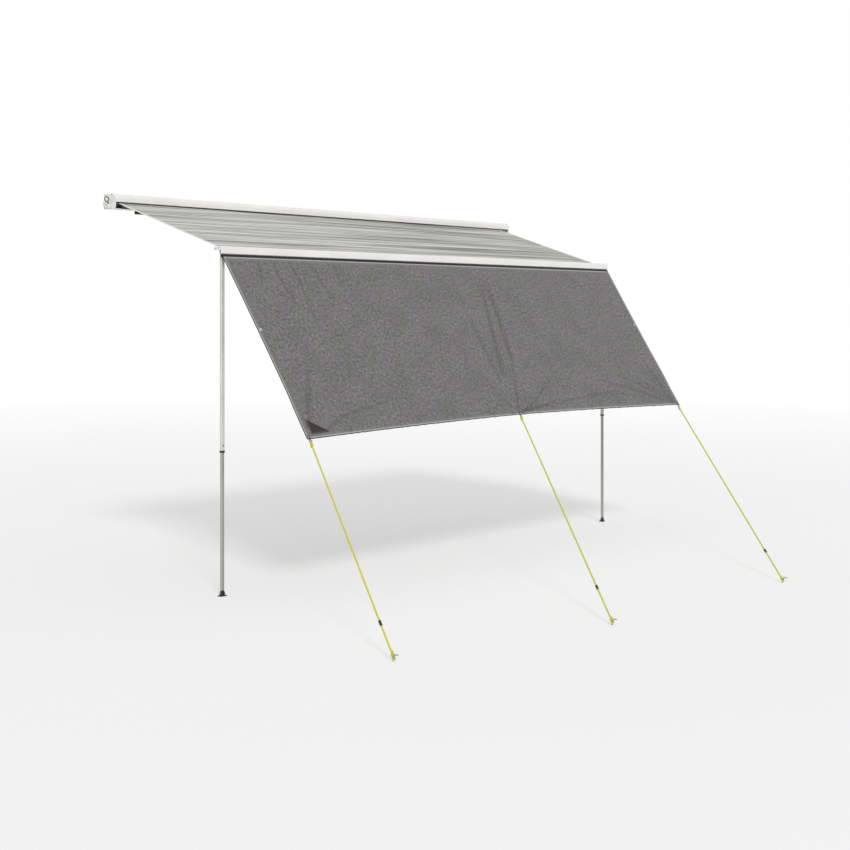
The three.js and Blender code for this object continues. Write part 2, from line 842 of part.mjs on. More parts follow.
// Leg head: a plug in the tube and a tongue that the knuckle carries
function legHead(x) {
  const plug = alongZ(outline(roundedPoints(innerWidth, innerDepth, boreCorner, cornerSteps)),
    tubeTop - headInsert, tubeTop + 2 * fitGap).translate(x, railY, 0);
  const tongue = knuckleWidth / 2 - knuckleCheek - fitGap;
  const flange = box(x - legWidth / 2, railY - legDepth / 2, tubeTop + fitGap,
    x + legWidth / 2, railY + legDepth / 2, tubeTop + fitGap + headFlange);
  const neck = box(x - knuckleRadius, railY - tongue, tubeTop + fitGap,
    x + knuckleRadius, railY + tongue, foldZ);
  const eye = rod([x, railY - tongue, foldZ], [x, railY + tongue, foldZ], knuckleRadius);
  const bore = rod([x, railY - legDepth, foldZ], [x, railY + legDepth, foldZ],
    legPinRadius + fitGap);
  return shaped([plug, flange, neck, eye], [bore]);
}

// Knuckle: tilts on the hanger's pin along X and carries the leg head on its own pin along Y
const knuckleEar = hangerPlate + fitGap;

function knuckle(x) {
  const half = knuckleWidth / 2;
  const earTop = tiltDrop - knuckleEar - fitGap;
  const ear = rod([x - half, railY, tiltZ], [x + half, railY, tiltZ], earTop);
  const crown = foldZ + knuckleRadius + fitGap;
  const saddle = box(x - half, railY - half, crown, x + half, railY + half,
    tiltZ);
  const cheeks = [-1, 1].map((side) => {
    const y0 = railY + side * (half - knuckleCheek);
    const y1 = railY + side * half;
    return shaped([
      box(x - knuckleRadius, Math.min(y0, y1), foldZ, x + knuckleRadius, Math.max(y0, y1),
        crown + fitGap),
      rod([x, y0, foldZ], [x, y1, foldZ], knuckleRadius),
    ]);
  });
  const foldPin = rod([x, railY - half - pinHeadHeight, foldZ],
    [x, railY + half + pinHeadHeight, foldZ], legPinRadius);
  return shaped([saddle, ear, ...cheeks, foldPin], [
    rod([x - legWidth, railY, tiltZ], [x + legWidth, railY, tiltZ], legPinRadius + fitGap),
  ]);
}

// Hanger: a plate under the rail with a cheek on each side of the knuckle, and the tilt pin
function legHanger(x) {
  const inner = knuckleWidth / 2 + fitGap;
  const outer = inner + hangerCheek;
  const top = railUnder - fitGap;
  const ear = tiltDrop - fitGap;
  const plate = box(x - outer, railY - ear, top - hangerPlate, x + outer, railY + ear, top);
  const cheeks = [-1, 1].flatMap((side) => {
    const x0 = x + side * inner;
    const x1 = x + side * outer;
    return [
      box(Math.min(x0, x1), railY - ear, tiltZ, Math.max(x0, x1), railY + ear,
        top - hangerPlate / 2),
      rod([x0, railY, tiltZ], [x1, railY, tiltZ], ear),
    ];
  });
  const tiltPin = rod([x - outer - fitGap, railY, tiltZ],
    [x + outer + fitGap, railY, tiltZ], legPinRadius);
  return shaped([plate, ...cheeks, tiltPin]);
}

// Collar and latch button at the mouth of the outer tube
function lockCollar(x) {
  const outer = roundedPoints(legWidth + 2 * collarWall, legDepth + 2 * collarWall,
    legCorner + collarWall, cornerSteps);
  const inner = roundedPoints(boreWidth, boreDepth, boreCorner, cornerSteps);
  const top = tubeBottom - fitGap;
  return alongZ(outline(outer, [inner]), top - collarHeight, top).translate(x, railY, 0);
}

function lockButton(x) {
  const level = tubeBottom + buttonLift;
  const seat = railY - innerDepth / 2 - fitGap;
  return rod([x, seat, level], [x, railY - legDepth / 2 - buttonRise, level], buttonRadius);
}

// Foot: a plug in the inner tube and a plate with two ears on a bolt

function footPlug(x) {
  const wide = innerWidth / 2 - legWall - fitGap;
  const back = innerDepth / 2 - legWall - fitGap;
  const front = -innerDepth / 2 + latchGrooveDepth + legWall + fitGap;
  const insert = box(x - wide, railY + front, plugTop - overrun, x + wide, railY + back,
    plugTop + footPlugInsert);
  const half = footEarInner - runningGap;
  const block = box(x - half, railY - innerDepth / 2, footPivotZ, x + half,
    railY + innerDepth / 2, plugTop - fitGap);
  const eye = rod([x - half, railY, footPivotZ], [x + half, railY, footPivotZ],
    innerDepth / 2);
  const bore = rod([x - footWidth, railY, footPivotZ], [x + footWidth, railY, footPivotZ],
    footBoltRadius + fitGap);
  return shaped([block, insert, eye], [bore]);
}

function footPlate(x) {
  const sole = outline(roundedPoints(footWidth, footDepth, footCorner, cornerSteps));
  const plateTop = groundZ + footThickness;
  const plate = alongZ(sole, groundZ, plateTop).translate(x, railY, 0);
  const ears = [-1, 1].flatMap((side) => {
    const x0 = x + side * footEarInner;
    const x1 = x + side * (footEarInner + footEarThickness);
    return [
      box(Math.min(x0, x1), railY - footEarRadius, groundZ + footThickness / 2,
        Math.max(x0, x1), railY + footEarRadius, footPivotZ),
      rod([x0, railY, footPivotZ], [x1, railY, footPivotZ], footEarRadius),
    ];
  });
  const cuts = [rod([x - footWidth, railY, footPivotZ], [x + footWidth, railY, footPivotZ],
    footBoltRadius + fitGap)];
  for (const side of [-1, 1]) {
    const y = railY + side * (footDepth / 2 - 2 * footNail);
    cuts.push(rod([x, y, groundZ - overrun], [x, y, plateTop + overrun], footNail, smallSides));
  }
  return shaped([plate, ...ears], cuts);
}

function footBolt(x) {
  const reach = footEarInner + footEarThickness + fitGap;
  const ends = [-1, 1].map((side) => rod([x + side * reach, railY, footPivotZ],
    [x + side * (reach + footBoltCap), railY, footPivotZ], footBoltHead, hexSides));
  const shank = rod([x - reach, railY, footPivotZ], [x + reach, railY, footPivotZ],
    footBoltRadius);
  return shaped([shank, ...ends]);
}

for (const [side, name] of [[-1, 'left'], [1, 'right']]) {
  const x = side * legX;
  addMesh(canopy, `${name}_leg_hanger`, legHanger(x), castGrey);
  addMesh(canopy, `${name}_knuckle`, knuckle(x), blackPlastic);
  addMesh(canopy, `${name}_leg_head`, legHead(x), blackPlastic);
  addMesh(canopy, `${name}_outer_tube`, outerTube(x), whiteCoat);
  addMesh(canopy, `${name}_lock_collar`, lockCollar(x), blackPlastic);
  addMesh(canopy, `${name}_lock_button`, lockButton(x), blackPlastic);
  addMesh(canopy, `${name}_inner_tube`, innerTube(x), bareAluminium);
  addMesh(canopy, `${name}_foot_plug`, footPlug(x), blackPlastic);
  addMesh(canopy, `${name}_foot`, footPlate(x), blackPlastic);
  addMesh(canopy, `${name}_foot_bolt`, footBolt(x), steel);
}

// Front screen: a cloth pulled tight between the rail and three rings, with drawn folds that run
// out from the rings and a hem that rises to the middle ring
const screenNormal = new THREE.Vector3(0, -Math.cos(screenLean), Math.sin(screenLean));
const screenDown = new THREE.Vector3(0, -Math.sin(screenLean), -Math.cos(screenLean));
const ringShares = [-1, 0, 1];

// Length of the screen from its cord to the straight line of the hem
function hemRun(across) {
  return screenLength - screenHemRise * (1 - Math.abs(across));
}

function foldLift(across, down) {
  let lift = 0;
  for (const ringShare of ringShares) {
    const dx = (across - ringShare) * (screenWidth / 2);
    const dy = (1 - down) * screenLength;
    const distance = Math.hypot(dx, dy);
    const clear = THREE.MathUtils.smoothstep(distance, screenFlat, 2 * screenFlat);
    const fade = Math.exp(-distance / screenFoldReach);
    lift += screenFold * fade * clear * Math.cos(screenFoldRays * Math.atan2(dx, dy));
  }
  return lift * Math.min(1, down / screenStiffShare);
}

function screenPoint(across, down, height) {
  const bay = Math.min(1, Math.abs(Math.abs(across) * 2 - 1) * screenHemShare);
  const scallop = screenScallop * (1 - bay * bay) * down;
  const x = across * (screenWidth / 2 - screenSideDraw * bow(down));
  const start = kederRadius + fitGap;
  const run = start + (hemRun(across) - start - scallop) * down;
  return new THREE.Vector3(x, screenKederY, screenKederZ)
    .addScaledVector(screenDown, run)
    .addScaledVector(screenNormal, foldLift(across, down) + height);
}

// A closed cloth from a grid of points, front and back face joined along the rim
function clothGeometry(point, columns, rows, thickness) {
  const positions = [];
  const index = [];
  const stride = columns + 1;
  const layer = stride * (rows + 1);
  for (const height of [thickness / 2, -thickness / 2]) {
    for (let j = 0; j <= rows; j += 1) {
      for (let i = 0; i <= columns; i += 1) {
        const spot = point((2 * i) / columns - 1, j / rows, height);
        positions.push(spot.x, spot.y, spot.z);
      }
    }
  }
  for (let j = 0; j < rows; j += 1) {
    for (let i = 0; i < columns; i += 1) {
      const a = j * stride + i;
      const [b, c, d] = [a + 1, a + stride, a + stride + 1];
      index.push(a, c, b, b, c, d);
      index.push(a + layer, b + layer, c + layer, b + layer, d + layer, c + layer);
    }
  }
  const rim = [];
  for (let i = 0; i < columns; i += 1) rim.push(i);
  for (let j = 0; j < rows; j += 1) rim.push(j * stride + columns);
  for (let i = columns; i > 0; i -= 1) rim.push(rows * stride + i);
  for (let j = rows; j > 0; j -= 1) rim.push(j * stride);
  rim.forEach((a, i) => {
    const b = rim[(i + 1) % rim.length];
    index.push(a, b, a + layer, b, b + layer, a + layer);
  });
  const geometry = new THREE.BufferGeometry();
  geometry.setAttribute('position', new THREE.Float32BufferAttribute(positions, 3));
  geometry.setIndex(index);
  geometry.computeVertexNormals();
  return geometry;
}
addMesh(canopy, 'front_screen', clothGeometry(screenPoint, screenColumns, screenRows,
  screenThickness), screenCloth);
addMesh(canopy, 'screen_keder', rod([-screenWidth / 2, screenKederY, screenKederZ],
  [screenWidth / 2, screenKederY, screenKederZ], kederRadius, smallSides), cordCloth);

// Anchor rings hang in the plane of the screen right under its hem, one for each rope
const ringPlaces = ringShares.map((across) => new THREE.Vector3(
  across * (screenWidth / 2 - ringInset), screenKederY, screenKederZ)
  .addScaledVector(screenDown, hemRun(across) + fitGap + ringWire + ringRadius));

function anchorRing(centre) {
  const ring = new THREE.TorusGeometry(ringRadius, ringWire, wireSides, roundSides);
  ring.applyMatrix4(new THREE.Matrix4().makeBasis(axisX,
    screenNormal.clone().cross(axisX), screenNormal));
  return ring.translate(centre.x, centre.y, centre.z);
}

const bayNames = ['left', 'centre', 'right'];
ringPlaces.forEach((centre, i) => {
  addMesh(canopy, `${bayNames[i]}_anchor_ring`, anchorRing(centre), castGrey);
});

// Guy ropes run straight from the rings to the pegs, each to its own place on the ground. These
// points are the route of each rope.
const ropeRoutes = [
  [[-2197.9, -1923.1, -1504.5], [-2806, -3149, -2526]],
  [[-7.8, -1899.5, -1467.8], [-1307, -3539, -2526]],
  [[2184.3, -1921.9, -1502.4], [576, -3684, -2526]],
];

function guyRope(route) {
  const [from, to] = route.map((point) => new THREE.Vector3(...point));
  const section = outline(circlePoints(0, 0, ropeRadius, ropeSides));
  return new THREE.ExtrudeGeometry(section, {
    steps: ropeSteps,
    bevelEnabled: false,
    extrudePath: new THREE.LineCurve3(from, to),
  });
}

// Runner: a short barrel on the rope, with a bore that it slides on
function ropeRunner(route) {
  const [from, to] = route.map((point) => new THREE.Vector3(...point));
  const way = to.clone().sub(from).normalize();
  const centre = from.clone().lerp(to, runnerShare);
  const along = (distance) => centre.clone().addScaledVector(way, distance).toArray();
  return shaped(
    [rod(along(-runnerLength / 2), along(runnerLength / 2), runnerRadius)],
    [rod(along(-runnerLength), along(runnerLength), ropeRadius + slideGap, smallSides)],
  );
}

// Peg: a steel pin in the ground with its top bent over away from the rope
function groundPeg(route) {
  const end = new THREE.Vector3(...route[1]);
  const way = end.clone().sub(new THREE.Vector3(...route[0])).normalize();
  const tip = new THREE.Vector3(0, Math.sin(pegLean), -Math.cos(pegLean));
  const slant = way.angleTo(tip);
  const reach = (pegRadius + fitGap + ropeRadius * Math.cos(slant)) / Math.sin(slant);
  const knee = end.clone().addScaledVector(way, reach);
  const top = knee.clone().addScaledVector(tip, -pegHook);
  const foot = knee.clone().addScaledVector(tip, pegLength);
  const hook = top.clone().add(new THREE.Vector3(0, -pegHook, 0));
  const shaft = rod(top.toArray(), foot.toArray(), pegRadius, smallSides);
  const bend = rod(top.toArray(), hook.toArray(), pegRadius, smallSides);
  const elbow = new THREE.SphereGeometry(pegRadius, smallSides, smallSides / 2);
  elbow.translate(top.x, top.y, top.z);
  return shaped([shaft, bend, elbow]);
}

ropeRoutes.forEach((route, i) => {
  addMesh(canopy, `${bayNames[i]}_guy_rope`, guyRope(route), neonRope);
  addMesh(canopy, `${bayNames[i]}_runner`, ropeRunner(route), blackPlastic);
  addMesh(canopy, `${bayNames[i]}_peg`, groundPeg(route), steel);
});

export default canopy;
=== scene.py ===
from math import atan2, cos, exp, hypot, inf, pi, radians, sin

import bmesh
import bpy
from mathutils import Matrix, Vector


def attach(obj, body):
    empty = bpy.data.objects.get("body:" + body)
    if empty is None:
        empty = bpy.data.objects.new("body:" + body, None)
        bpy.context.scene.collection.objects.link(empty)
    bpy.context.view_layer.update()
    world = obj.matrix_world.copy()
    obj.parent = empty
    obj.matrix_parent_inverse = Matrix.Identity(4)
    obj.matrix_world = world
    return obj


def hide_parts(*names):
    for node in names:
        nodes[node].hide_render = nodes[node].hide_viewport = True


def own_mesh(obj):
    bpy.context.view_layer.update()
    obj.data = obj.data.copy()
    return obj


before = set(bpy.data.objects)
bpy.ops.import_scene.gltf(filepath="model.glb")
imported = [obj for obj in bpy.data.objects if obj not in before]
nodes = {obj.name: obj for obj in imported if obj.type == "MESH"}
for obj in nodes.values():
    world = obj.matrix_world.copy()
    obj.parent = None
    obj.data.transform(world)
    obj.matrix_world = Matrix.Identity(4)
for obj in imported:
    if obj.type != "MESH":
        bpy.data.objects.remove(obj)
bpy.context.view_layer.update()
scene = bpy.context.scene


# Camera: level, with a little shift as in the photograph
view = dict(
    place=(-8.52415, -8.25909, -0.70208), turn=-49.454, lens=61.4318, shift=-0.1324, sensor=36,
    far=200)

cameraData = bpy.data.cameras.new("camera")
cameraData.lens = view["lens"]
cameraData.sensor_width = view["sensor"]
cameraData.shift_y = view["shift"]
cameraData.clip_end = view["far"]
camera = bpy.data.objects.new("camera", cameraData)
camera.location = view["place"]
camera.rotation_euler = (radians(90), 0, radians(view["turn"]))
scene.collection.objects.link(camera)
scene.camera = camera
print("camera set")


# Small helpers
looks = []  # each made piece with the name of its finish, painted near the end


def newObject(name, data):
    made = bpy.data.objects.new(name, data)
    scene.collection.objects.link(made)
    return made


# Turns a bmesh into an object; edges sharper than angle stay crisp
def meshFrom(name, bm, angle):
    data = bpy.data.meshes.new(name)
    for face in bm.faces:
        face.smooth = True
    for edge in bm.edges:
        if len(edge.link_faces) == 2 and edge.calc_face_angle(0) > radians(angle):
            edge.smooth = False
    bm.to_mesh(data)
    bm.free()
    return newObject(name, data)


# A rope or wire along points, with closed ends, as a mesh with its curve's UV map
def addRope(name, points, radius, rounding=2):
    curve = bpy.data.curves.new(name, "CURVE")
    curve.dimensions = "3D"
    curve.bevel_depth = radius
    curve.bevel_resolution = rounding
    curve.use_fill_caps = True
    spline = curve.splines.new("POLY")
    spline.points.add(len(points) - 1)
    for spot, point in zip(spline.points, points):
        spot.co = (*point, 1)
    held = newObject(name + "_line", curve)
    bpy.context.view_layer.update()
    depsgraph = bpy.context.evaluated_depsgraph_get()
    data = bpy.data.meshes.new_from_object(held.evaluated_get(depsgraph))
    bpy.data.objects.remove(held)
    data.name = name
    for face in data.polygons:
        face.use_smooth = True
    return newObject(name, data)


# A round bar round Z, with its middle at a height
def addDrum(bm, radius, depth, sides, middle=0):
    bmesh.ops.create_cone(
        bm, cap_ends=True, segments=sides, radius1=radius, radius2=radius, depth=depth,
        matrix=Matrix.Translation((0, 0, middle)))


# Brings the origin to a place and Z to way
def placed(place, way):
    way = Vector(way).normalized()
    side = Vector((0, 0, 1)).cross(way)
    if side.length < 1e-4:  # way is upright
        side = Vector((1, 0, 0)).cross(way)
    side.normalize()
    turn = Matrix((side, way.cross(side), way)).transposed().to_4x4()
    return Matrix.Translation(Vector(place)) @ turn


# Guy ropes: the routes of the model, straight and taut from ring to peg
ropes = dict(
    radius=0.005,
    steps=24,
    runs=dict(
        left=[(-2.1979, -1.9231, -1.5045), (-2.806, -3.149, -2.526)],
        centre=[(-0.0078, -1.8995, -1.4678), (-1.307, -3.539, -2.526)],
        right=[(2.1843, -1.9219, -1.5024), (0.576, -3.684, -2.526)],
    ),
    wraps=3,  # turns of a knot
    wrapRadius=0.0027,
    wrapLift=0.0022,  # of the turns' line over the rope's face
    wrapPitch=0.0056,
    wrapSteps=12,
    knotGap=0.008,  # from the rope's end to its knot
    topTail=0.016, pegTail=0.018,
    tailBends=((0.4, 0.0008), (0.6, 0.0012)),  # share of the tail, then its lift
    loopSteps=16,
    loopMouth=14,  # degrees that stay open on each side of the rope
    ringLoop=0.0058, ringCord=0.003,
    pegLoop=0.0074, pegCord=0.0031, pegRadius=0.004, pegLean=20, pegGap=0.0003,
)
rings = dict(
    places=dict(
        left=(-2.193, -1.915853, -1.494519),
        centre=(0, -1.892974, -1.459298),
        right=(2.193, -1.915853, -1.494519),
    ),
    radius=0.011,
    wire=0.002,
)
screenLean = 0.5760758
screenNormal = Vector((0, -cos(screenLean), sin(screenLean)))
screenDown = Vector((0, -sin(screenLean), -cos(screenLean)))


# A knot's turns round a rope, with a short tail that lies along it
def wrapPoints(start, way, tail):
    side = way.orthogonal().normalized()
    other = way.cross(side)
    points = []
    for i in range(ropes["wraps"] * ropes["wrapSteps"] + 1):
        turns = i / ropes["wrapSteps"]
        swing = side * cos(2 * pi * turns) + other * sin(2 * pi * turns)
        points.append(start + way * (ropes["wrapPitch"] * turns)
                      + swing * (ropes["radius"] + ropes["wrapLift"]))
    for share, lift in ropes["tailBends"]:
        points.append(points[-1] + way * tail * share + side * lift)
    return points


# A loop that starts and ends beside the rope
def loopPoints(centre, first, second, radius):
    mouth = radians(ropes["loopMouth"])
    points = []
    for i in range(ropes["loopSteps"] + 1):
        angle = mouth + (2 * pi - 2 * mouth) * i / ropes["loopSteps"]
        points.append(centre + (first * cos(angle) + second * sin(angle)) * radius)
    return points


pegWay = Vector((0, sin(radians(ropes["pegLean"])), -cos(radians(ropes["pegLean"]))))
for name, (start, end) in ropes["runs"].items():
    start, end = Vector(start), Vector(end)
    way = (end - start).normalized()
    line = [start.lerp(end, i / ropes["steps"]) for i in range(ropes["steps"] + 1)]
    rope = addRope(f"{name}GuyRope", line, ropes["radius"], rounding=4)
    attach(rope, f"{name}_rope")
    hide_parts(f"{name}_guy_rope")

    out = (way - screenNormal * way.dot(screenNormal)).normalized()
    wirePoint = Vector(rings["places"][name]) + out * rings["radius"]  # the wire under the pull
    ringSide = screenNormal.cross(out).cross(way).normalized()
    slant = way.angle(pegWay)
    reach = (ropes["pegRadius"] + ropes["pegGap"] + ropes["radius"] * cos(slant)) / sin(slant)
    flatWay = (way - pegWay * way.dot(pegWay)).normalized()
    ties = [addRope(name + label, points, radius) for label, points, radius in (
        ("RingLoop", loopPoints(wirePoint, way, ringSide, ropes["ringLoop"]), ropes["ringCord"]),
        ("TopKnot", wrapPoints(start + way * ropes["knotGap"], way, ropes["topTail"]),
         ropes["wrapRadius"]),
        ("PegLoop", loopPoints(end + way * reach, -flatWay, pegWay.cross(flatWay),
                               ropes["pegLoop"]), ropes["pegCord"]),
        ("PegKnot", wrapPoints(end - way * ropes["knotGap"], -way, ropes["pegTail"]),
         ropes["wrapRadius"]),
    )]
    for piece in ties:
        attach(piece, f"{name}_rope")
        looks.append((piece, "knot"))
    looks.append((rope, "rope"))
print("guy ropes made:", len(ropes["runs"]))


# Roof cloth: from the roller to its cord in the rail
pitch = radians(17.8)
exitPoint = Vector((0, -0.06, 0.058))
slopeDown = Vector((0, -cos(pitch), -sin(pitch)))
slopeUp = Vector((0, -sin(pitch), cos(pitch)))
roof = dict(
    left=-2.2245,
    right=2.1505,
    rollerRun=-0.083,
    railRun=1.09268,
    sag=0.0008,
    ripple=0.0005,
    waves=23,
    drift=1.5,  # keeps the waves uneven
    driftWaves=7,
    thickness=0.0012,
    hem=0.028,
    columns=150,
    rows=60,
    folded=0.078,  # share of its length that is out when the arms are folded
)
hemStep = 0.001  # over which a cloth gets its hem's double thickness


# A flat unit grid with extra lines where hems and eyelets are
def clothGrid(columns, rows, cutsAcross=(), cutsDown=()):
    bm = bmesh.new()
    bmesh.ops.create_grid(bm, x_segments=columns, y_segments=rows, size=0.5)
    bmesh.ops.translate(bm, verts=bm.verts, vec=(0.5, 0.5, 0))
    for axis, cuts in (((1, 0, 0), cutsAcross), ((0, 1, 0), cutsDown)):
        for share in cuts:
            bmesh.ops.bisect_plane(
                bm, geom=bm.verts[:] + bm.edges[:] + bm.faces[:], dist=1e-7,
                plane_co=Vector(axis) * share, plane_no=axis)
    return bm


def hemCuts(hem, extent):
    near = (hem / extent, (hem + hemStep) / extent)
    return [*near, 1 - near[0], 1 - near[1]]


# Bends a unit grid to its place, faces towards way, with a UV map in metres
def bendCloth(bm, width, length, place, way):
    uvLayer = bm.loops.layers.uv.new("cloth")
    for face in bm.faces:
        for loop in face.loops:
            loop[uvLayer].uv = (loop.vert.co.x * width, loop.vert.co.y * length)
    for v in bm.verts:
        v.co = place(v.co.x, v.co.y)
    bmesh.ops.recalc_face_normals(bm, faces=bm.faces)
    if sum(face.normal.dot(way) for face in bm.faces) < 0:
        bmesh.ops.reverse_faces(bm, faces=bm.faces)


def addWall(piece, thickness):
    wall = piece.modifiers.new("thickness", "SOLIDIFY")
    wall.thickness = thickness
    wall.offset = 0
    return wall


# A cloth with double hems at its sides, and at its ends where endHems is set
def clothObject(name, bm, facts, width, length, place, endHems=False, creaseShade=None):
    limit = facts["hem"] + hemStep / 2
    hemmed = [
        i for i, v in enumerate(bm.verts) if min(v.co.x, 1 - v.co.x) * width < limit
        or endHems and min(v.co.y, 1 - v.co.y) * length < limit]
    # stores each point's crease lift for the painted shade in the crease valleys and the painted
    # highlight on their ridges
    if creaseShade:  # lets the creases show in the colour too
        layer = bm.verts.layers.float.new("crease")
        for v in bm.verts:
            v[layer] = creaseShade(v.co.x, v.co.y)
    bendCloth(bm, width, length, place, Vector((0, 0, 1)))
    cloth = meshFrom(name, bm, angle=80)
    cloth.vertex_groups.new(name="hem").add(hemmed, 1.0, "REPLACE")
    wall = addWall(cloth, 2 * facts["thickness"])
    wall.vertex_group = "hem"
    wall.thickness_vertex_group = 0.5
    wall.use_even_offset = True
    return cloth


roofWidth = roof["right"] - roof["left"]
roofRun = roof["railRun"] - roof["rollerRun"]


def roofPoint(across, down):
    run = roof["rollerRun"] + roofRun * down
    share = max(0, run) / roof["railRun"]
    bow = 1 - (2 * share - 1) ** 2 if run > 0 else 0
    wave = sin(across * roof["waves"] + roof["drift"] * sin(across * roof["driftWaves"]))
    lift = roof["ripple"] * wave * bow * sin(pi * share) - roof["sag"] * bow
    middle = exitPoint + slopeDown * run + slopeUp * lift
    return Vector((roof["left"] + roofWidth * across, middle.y, middle.z))


roofGrid = clothGrid(roof["columns"], roof["rows"], hemCuts(roof["hem"], roofWidth))
roofCloth = clothObject("roofCloth", roofGrid, roof, roofWidth, roofRun, roofPoint)
looks.append((roofCloth, "roofCloth"))
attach(roofCloth, "case")
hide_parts("roof_fabric")
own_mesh(roofCloth)


# Front screen: pulled tight between the rail and its rings
screen = dict(
    width=4.43,
    length=1.385989,
    top=(-1.153608, -0.321066),  # y and z of its edge cord
    start=0.0034,
    rise=0.042,  # of the hem's middle over its corners
    scallop=0.006,
    sideDraw=0.008,
    flare=0.033,  # of each top corner, out to the rail's end
    fold=0.009,
    foldReach=0.42,
    foldRays=7,
    stiffShare=0.25,
    pucker=0.0012,
    puckerReach=0.045,
    pleat=0.0022,  # of the finer folds by the eyelets
    pleatReach=0.22,
    pleatStart=(0.06, 0.2),
    pleatRays=17,
    pleatTurn=0.6,
    patchReach=(0.2, 0.32),  # the corner is flat up to the first, folded past the second
    creaseDepth=2.3,
    creaseWidth=1.1,
    creaseReach=2.6,  # in crease widths
    creaseFade=0.7,
    creaseRidge=0.8,
    # the crease attribute drives the screen's painted crease shade and highlight
    toneDepth=0.01,  # lift that changes the crease attribute by one
    hemCurve=1.05,
    flatReach=0.165,
    thickness=0.0014,
    hem=0.032,
    columns=370,
    rows=114,
    eyeletDrop=0.017,  # of the three eyelets above the hem
    sideEyelets=0.42,
    eyeletHole=0.0058,
)


def smoothShare(value, low, high):
    share = max(0, min(1, (value - low) / (high - low)))
    return share * share * (3 - 2 * share)


def screenRun(across, down):
    return down * (screen["length"] - screen["rise"] * (1 - abs(across)))


# Creases drawn by the ropes' pull: points (x, run), then depth and half width
creases = [
    ([(0.0, 1.33), (0.272, 0.813)], -0.0042, 0.015),
    ([(0.25, 0.85), (0.34, 0.5), (0.423, 0.1)], -0.0055, 0.034),
    ([(0.03, 1.0), (0.106, 0.83), (0.355, 0.11)], -0.005, 0.03),
    ([(-0.032, 1.03), (-0.019, 0.27)], -0.003, 0.03),
    ([(0.02, 1.33), (0.156, 1.3), (0.603, 1.06)], -0.004, 0.016),
    ([(0.05, 1.33), (0.3, 1.29), (1.25, 1.22), (2.0, 1.32)], -0.0035, 0.018),
    ([(-0.03, 1.33), (-0.25, 1.325), (-0.4, 1.29)], -0.003, 0.013),
    ([(-0.02, 1.3), (-0.16, 1.12), (-0.2, 0.95)], -0.0025, 0.016),
    ([(2.17, 1.35), (2.06, 1.05), (2.02, 0.8)], -0.004, 0.015),
    ([(2.15, 1.35), (1.9, 0.98)], -0.0035, 0.016),
    ([(2.15, 1.35), (1.68, 1.12), (1.5, 1.06)], -0.0045, 0.015),
    ([(2.13, 1.32), (1.57, 0.98)], -0.004, 0.015),
    ([(2.14, 1.36), (1.6, 1.19), (1.18, 1.09)], -0.004, 0.018),
    ([(-2.15, 1.3), (-2.09, 1.18), (-1.91, 0.86)], -0.004, 0.024),
    ([(-2.1, 1.36), (-1.7, 1.22), (-1.35, 1.16)], -0.003, 0.02),
    ([(-1.92, 0.05), (-1.98, 0.24)], -0.0048, 0.014),
    ([(-1.78, 0.05), (-1.8, 0.16), (-1.75, 0.4)], -0.005, 0.015),
    ([(-1.64, 0.05), (-1.62, 0.2), (-1.66, 0.48)], -0.005, 0.016),
    ([(-1.45, 0.05), (-1.4, 0.34)], -0.0042, 0.016),
    ([(-1.22, 0.05), (-1.25, 0.3)], -0.0036, 0.016),
    ([(1.55, 0.05), (1.72, 0.26)], -0.0036, 0.018),
]
hemPuckers = dict(
    count=24, start=-2.0, pitch=0.173, shift=0.03, shiftBeat=2.4, lean=0.035, leanBeat=1.7,
    low=0.004, high=0.075, depth=-0.0028, width=0.013)
for i in range(hemPuckers["count"]):  # short ones along the hem
    x = (hemPuckers["start"] + i * hemPuckers["pitch"]
         + hemPuckers["shift"] * sin(i * hemPuckers["shiftBeat"]))
    run = screenRun(2 * x / screen["width"], 1)
    head = (x + hemPuckers["lean"] * sin(i * hemPuckers["leanBeat"]), run - hemPuckers["high"])
    creases.append(([(x, run - hemPuckers["low"]), head], hemPuckers["depth"],
                    hemPuckers["width"]))

creaseRuns = []
for points, depth, width in creases:
    parts, total = [], 0
    for (x0, r0), (x1, r1) in zip(points, points[1:]):
        span = hypot(x1 - x0, r1 - r0)
        parts.append((x0, r0, x1 - x0, r1 - r0, total, span))
        total += span
    creaseRuns.append((parts, total, depth * screen["creaseDepth"], width * screen["creaseWidth"]))


# The lift by all creases: each is a valley between two soft ridges, fading along its way
def creaseLift(x, run):
    lift = 0
    for parts, total, depth, width in creaseRuns:
        near, along = inf, 0
        for x0, r0, dx, dr, before, span in parts:
            share = max(0, min(1, ((x - x0) * dx + (run - r0) * dr) / span ** 2))
            off = hypot(x - x0 - share * dx, run - r0 - share * dr)
            if off < near:
                near, along = off, (before + share * span) / total
        if near < screen["creaseReach"] * width:
            off = (near / width) ** 2
            fade = 1 - screen["creaseFade"] * along * along
            lift += depth * fade * (1 - screen["creaseRidge"] * off) * exp(-off)
    return lift


# 0 under the flat corner patch, 1 away from it
def cornerShare(x, run):
    reach = hypot(x + screen["width"] / 2, screen["length"] - run)
    return smoothShare(reach, *screen["patchReach"])


def foldLift(across, down):
    lift = 0
    above = (1 - down) * screen["length"]
    for ring in (-1, 0, 1):  # folds and finer pleats fan out of each ring
        aside = (across - ring) * screen["width"] / 2
        reach, angle = hypot(aside, above), atan2(aside, above)
        clear = smoothShare(reach, screen["flatReach"], 2 * screen["flatReach"])
        lift += screen["fold"] * exp(-reach / screen["foldReach"]) * clear * cos(
            screen["foldRays"] * angle)
        near = smoothShare(reach, *screen["pleatStart"])
        lift += screen["pleat"] * exp(-reach / screen["pleatReach"]) * near * cos(
            screen["pleatRays"] * angle + screen["pleatTurn"] * ring)
    x = across * screen["width"] / 2
    pucker = sin(x * 61 + 2 * sin(x * 5)) + 0.6 * sin(x * 103 + 1.7)  # uneven, never repeating
    lift += screen["pucker"] * pucker * exp(-above / screen["puckerReach"])
    run = screenRun(across, down)
    lift = (lift + creaseLift(x, run)) * cornerShare(x, run)
    return lift * min(1, down / screen["stiffShare"])


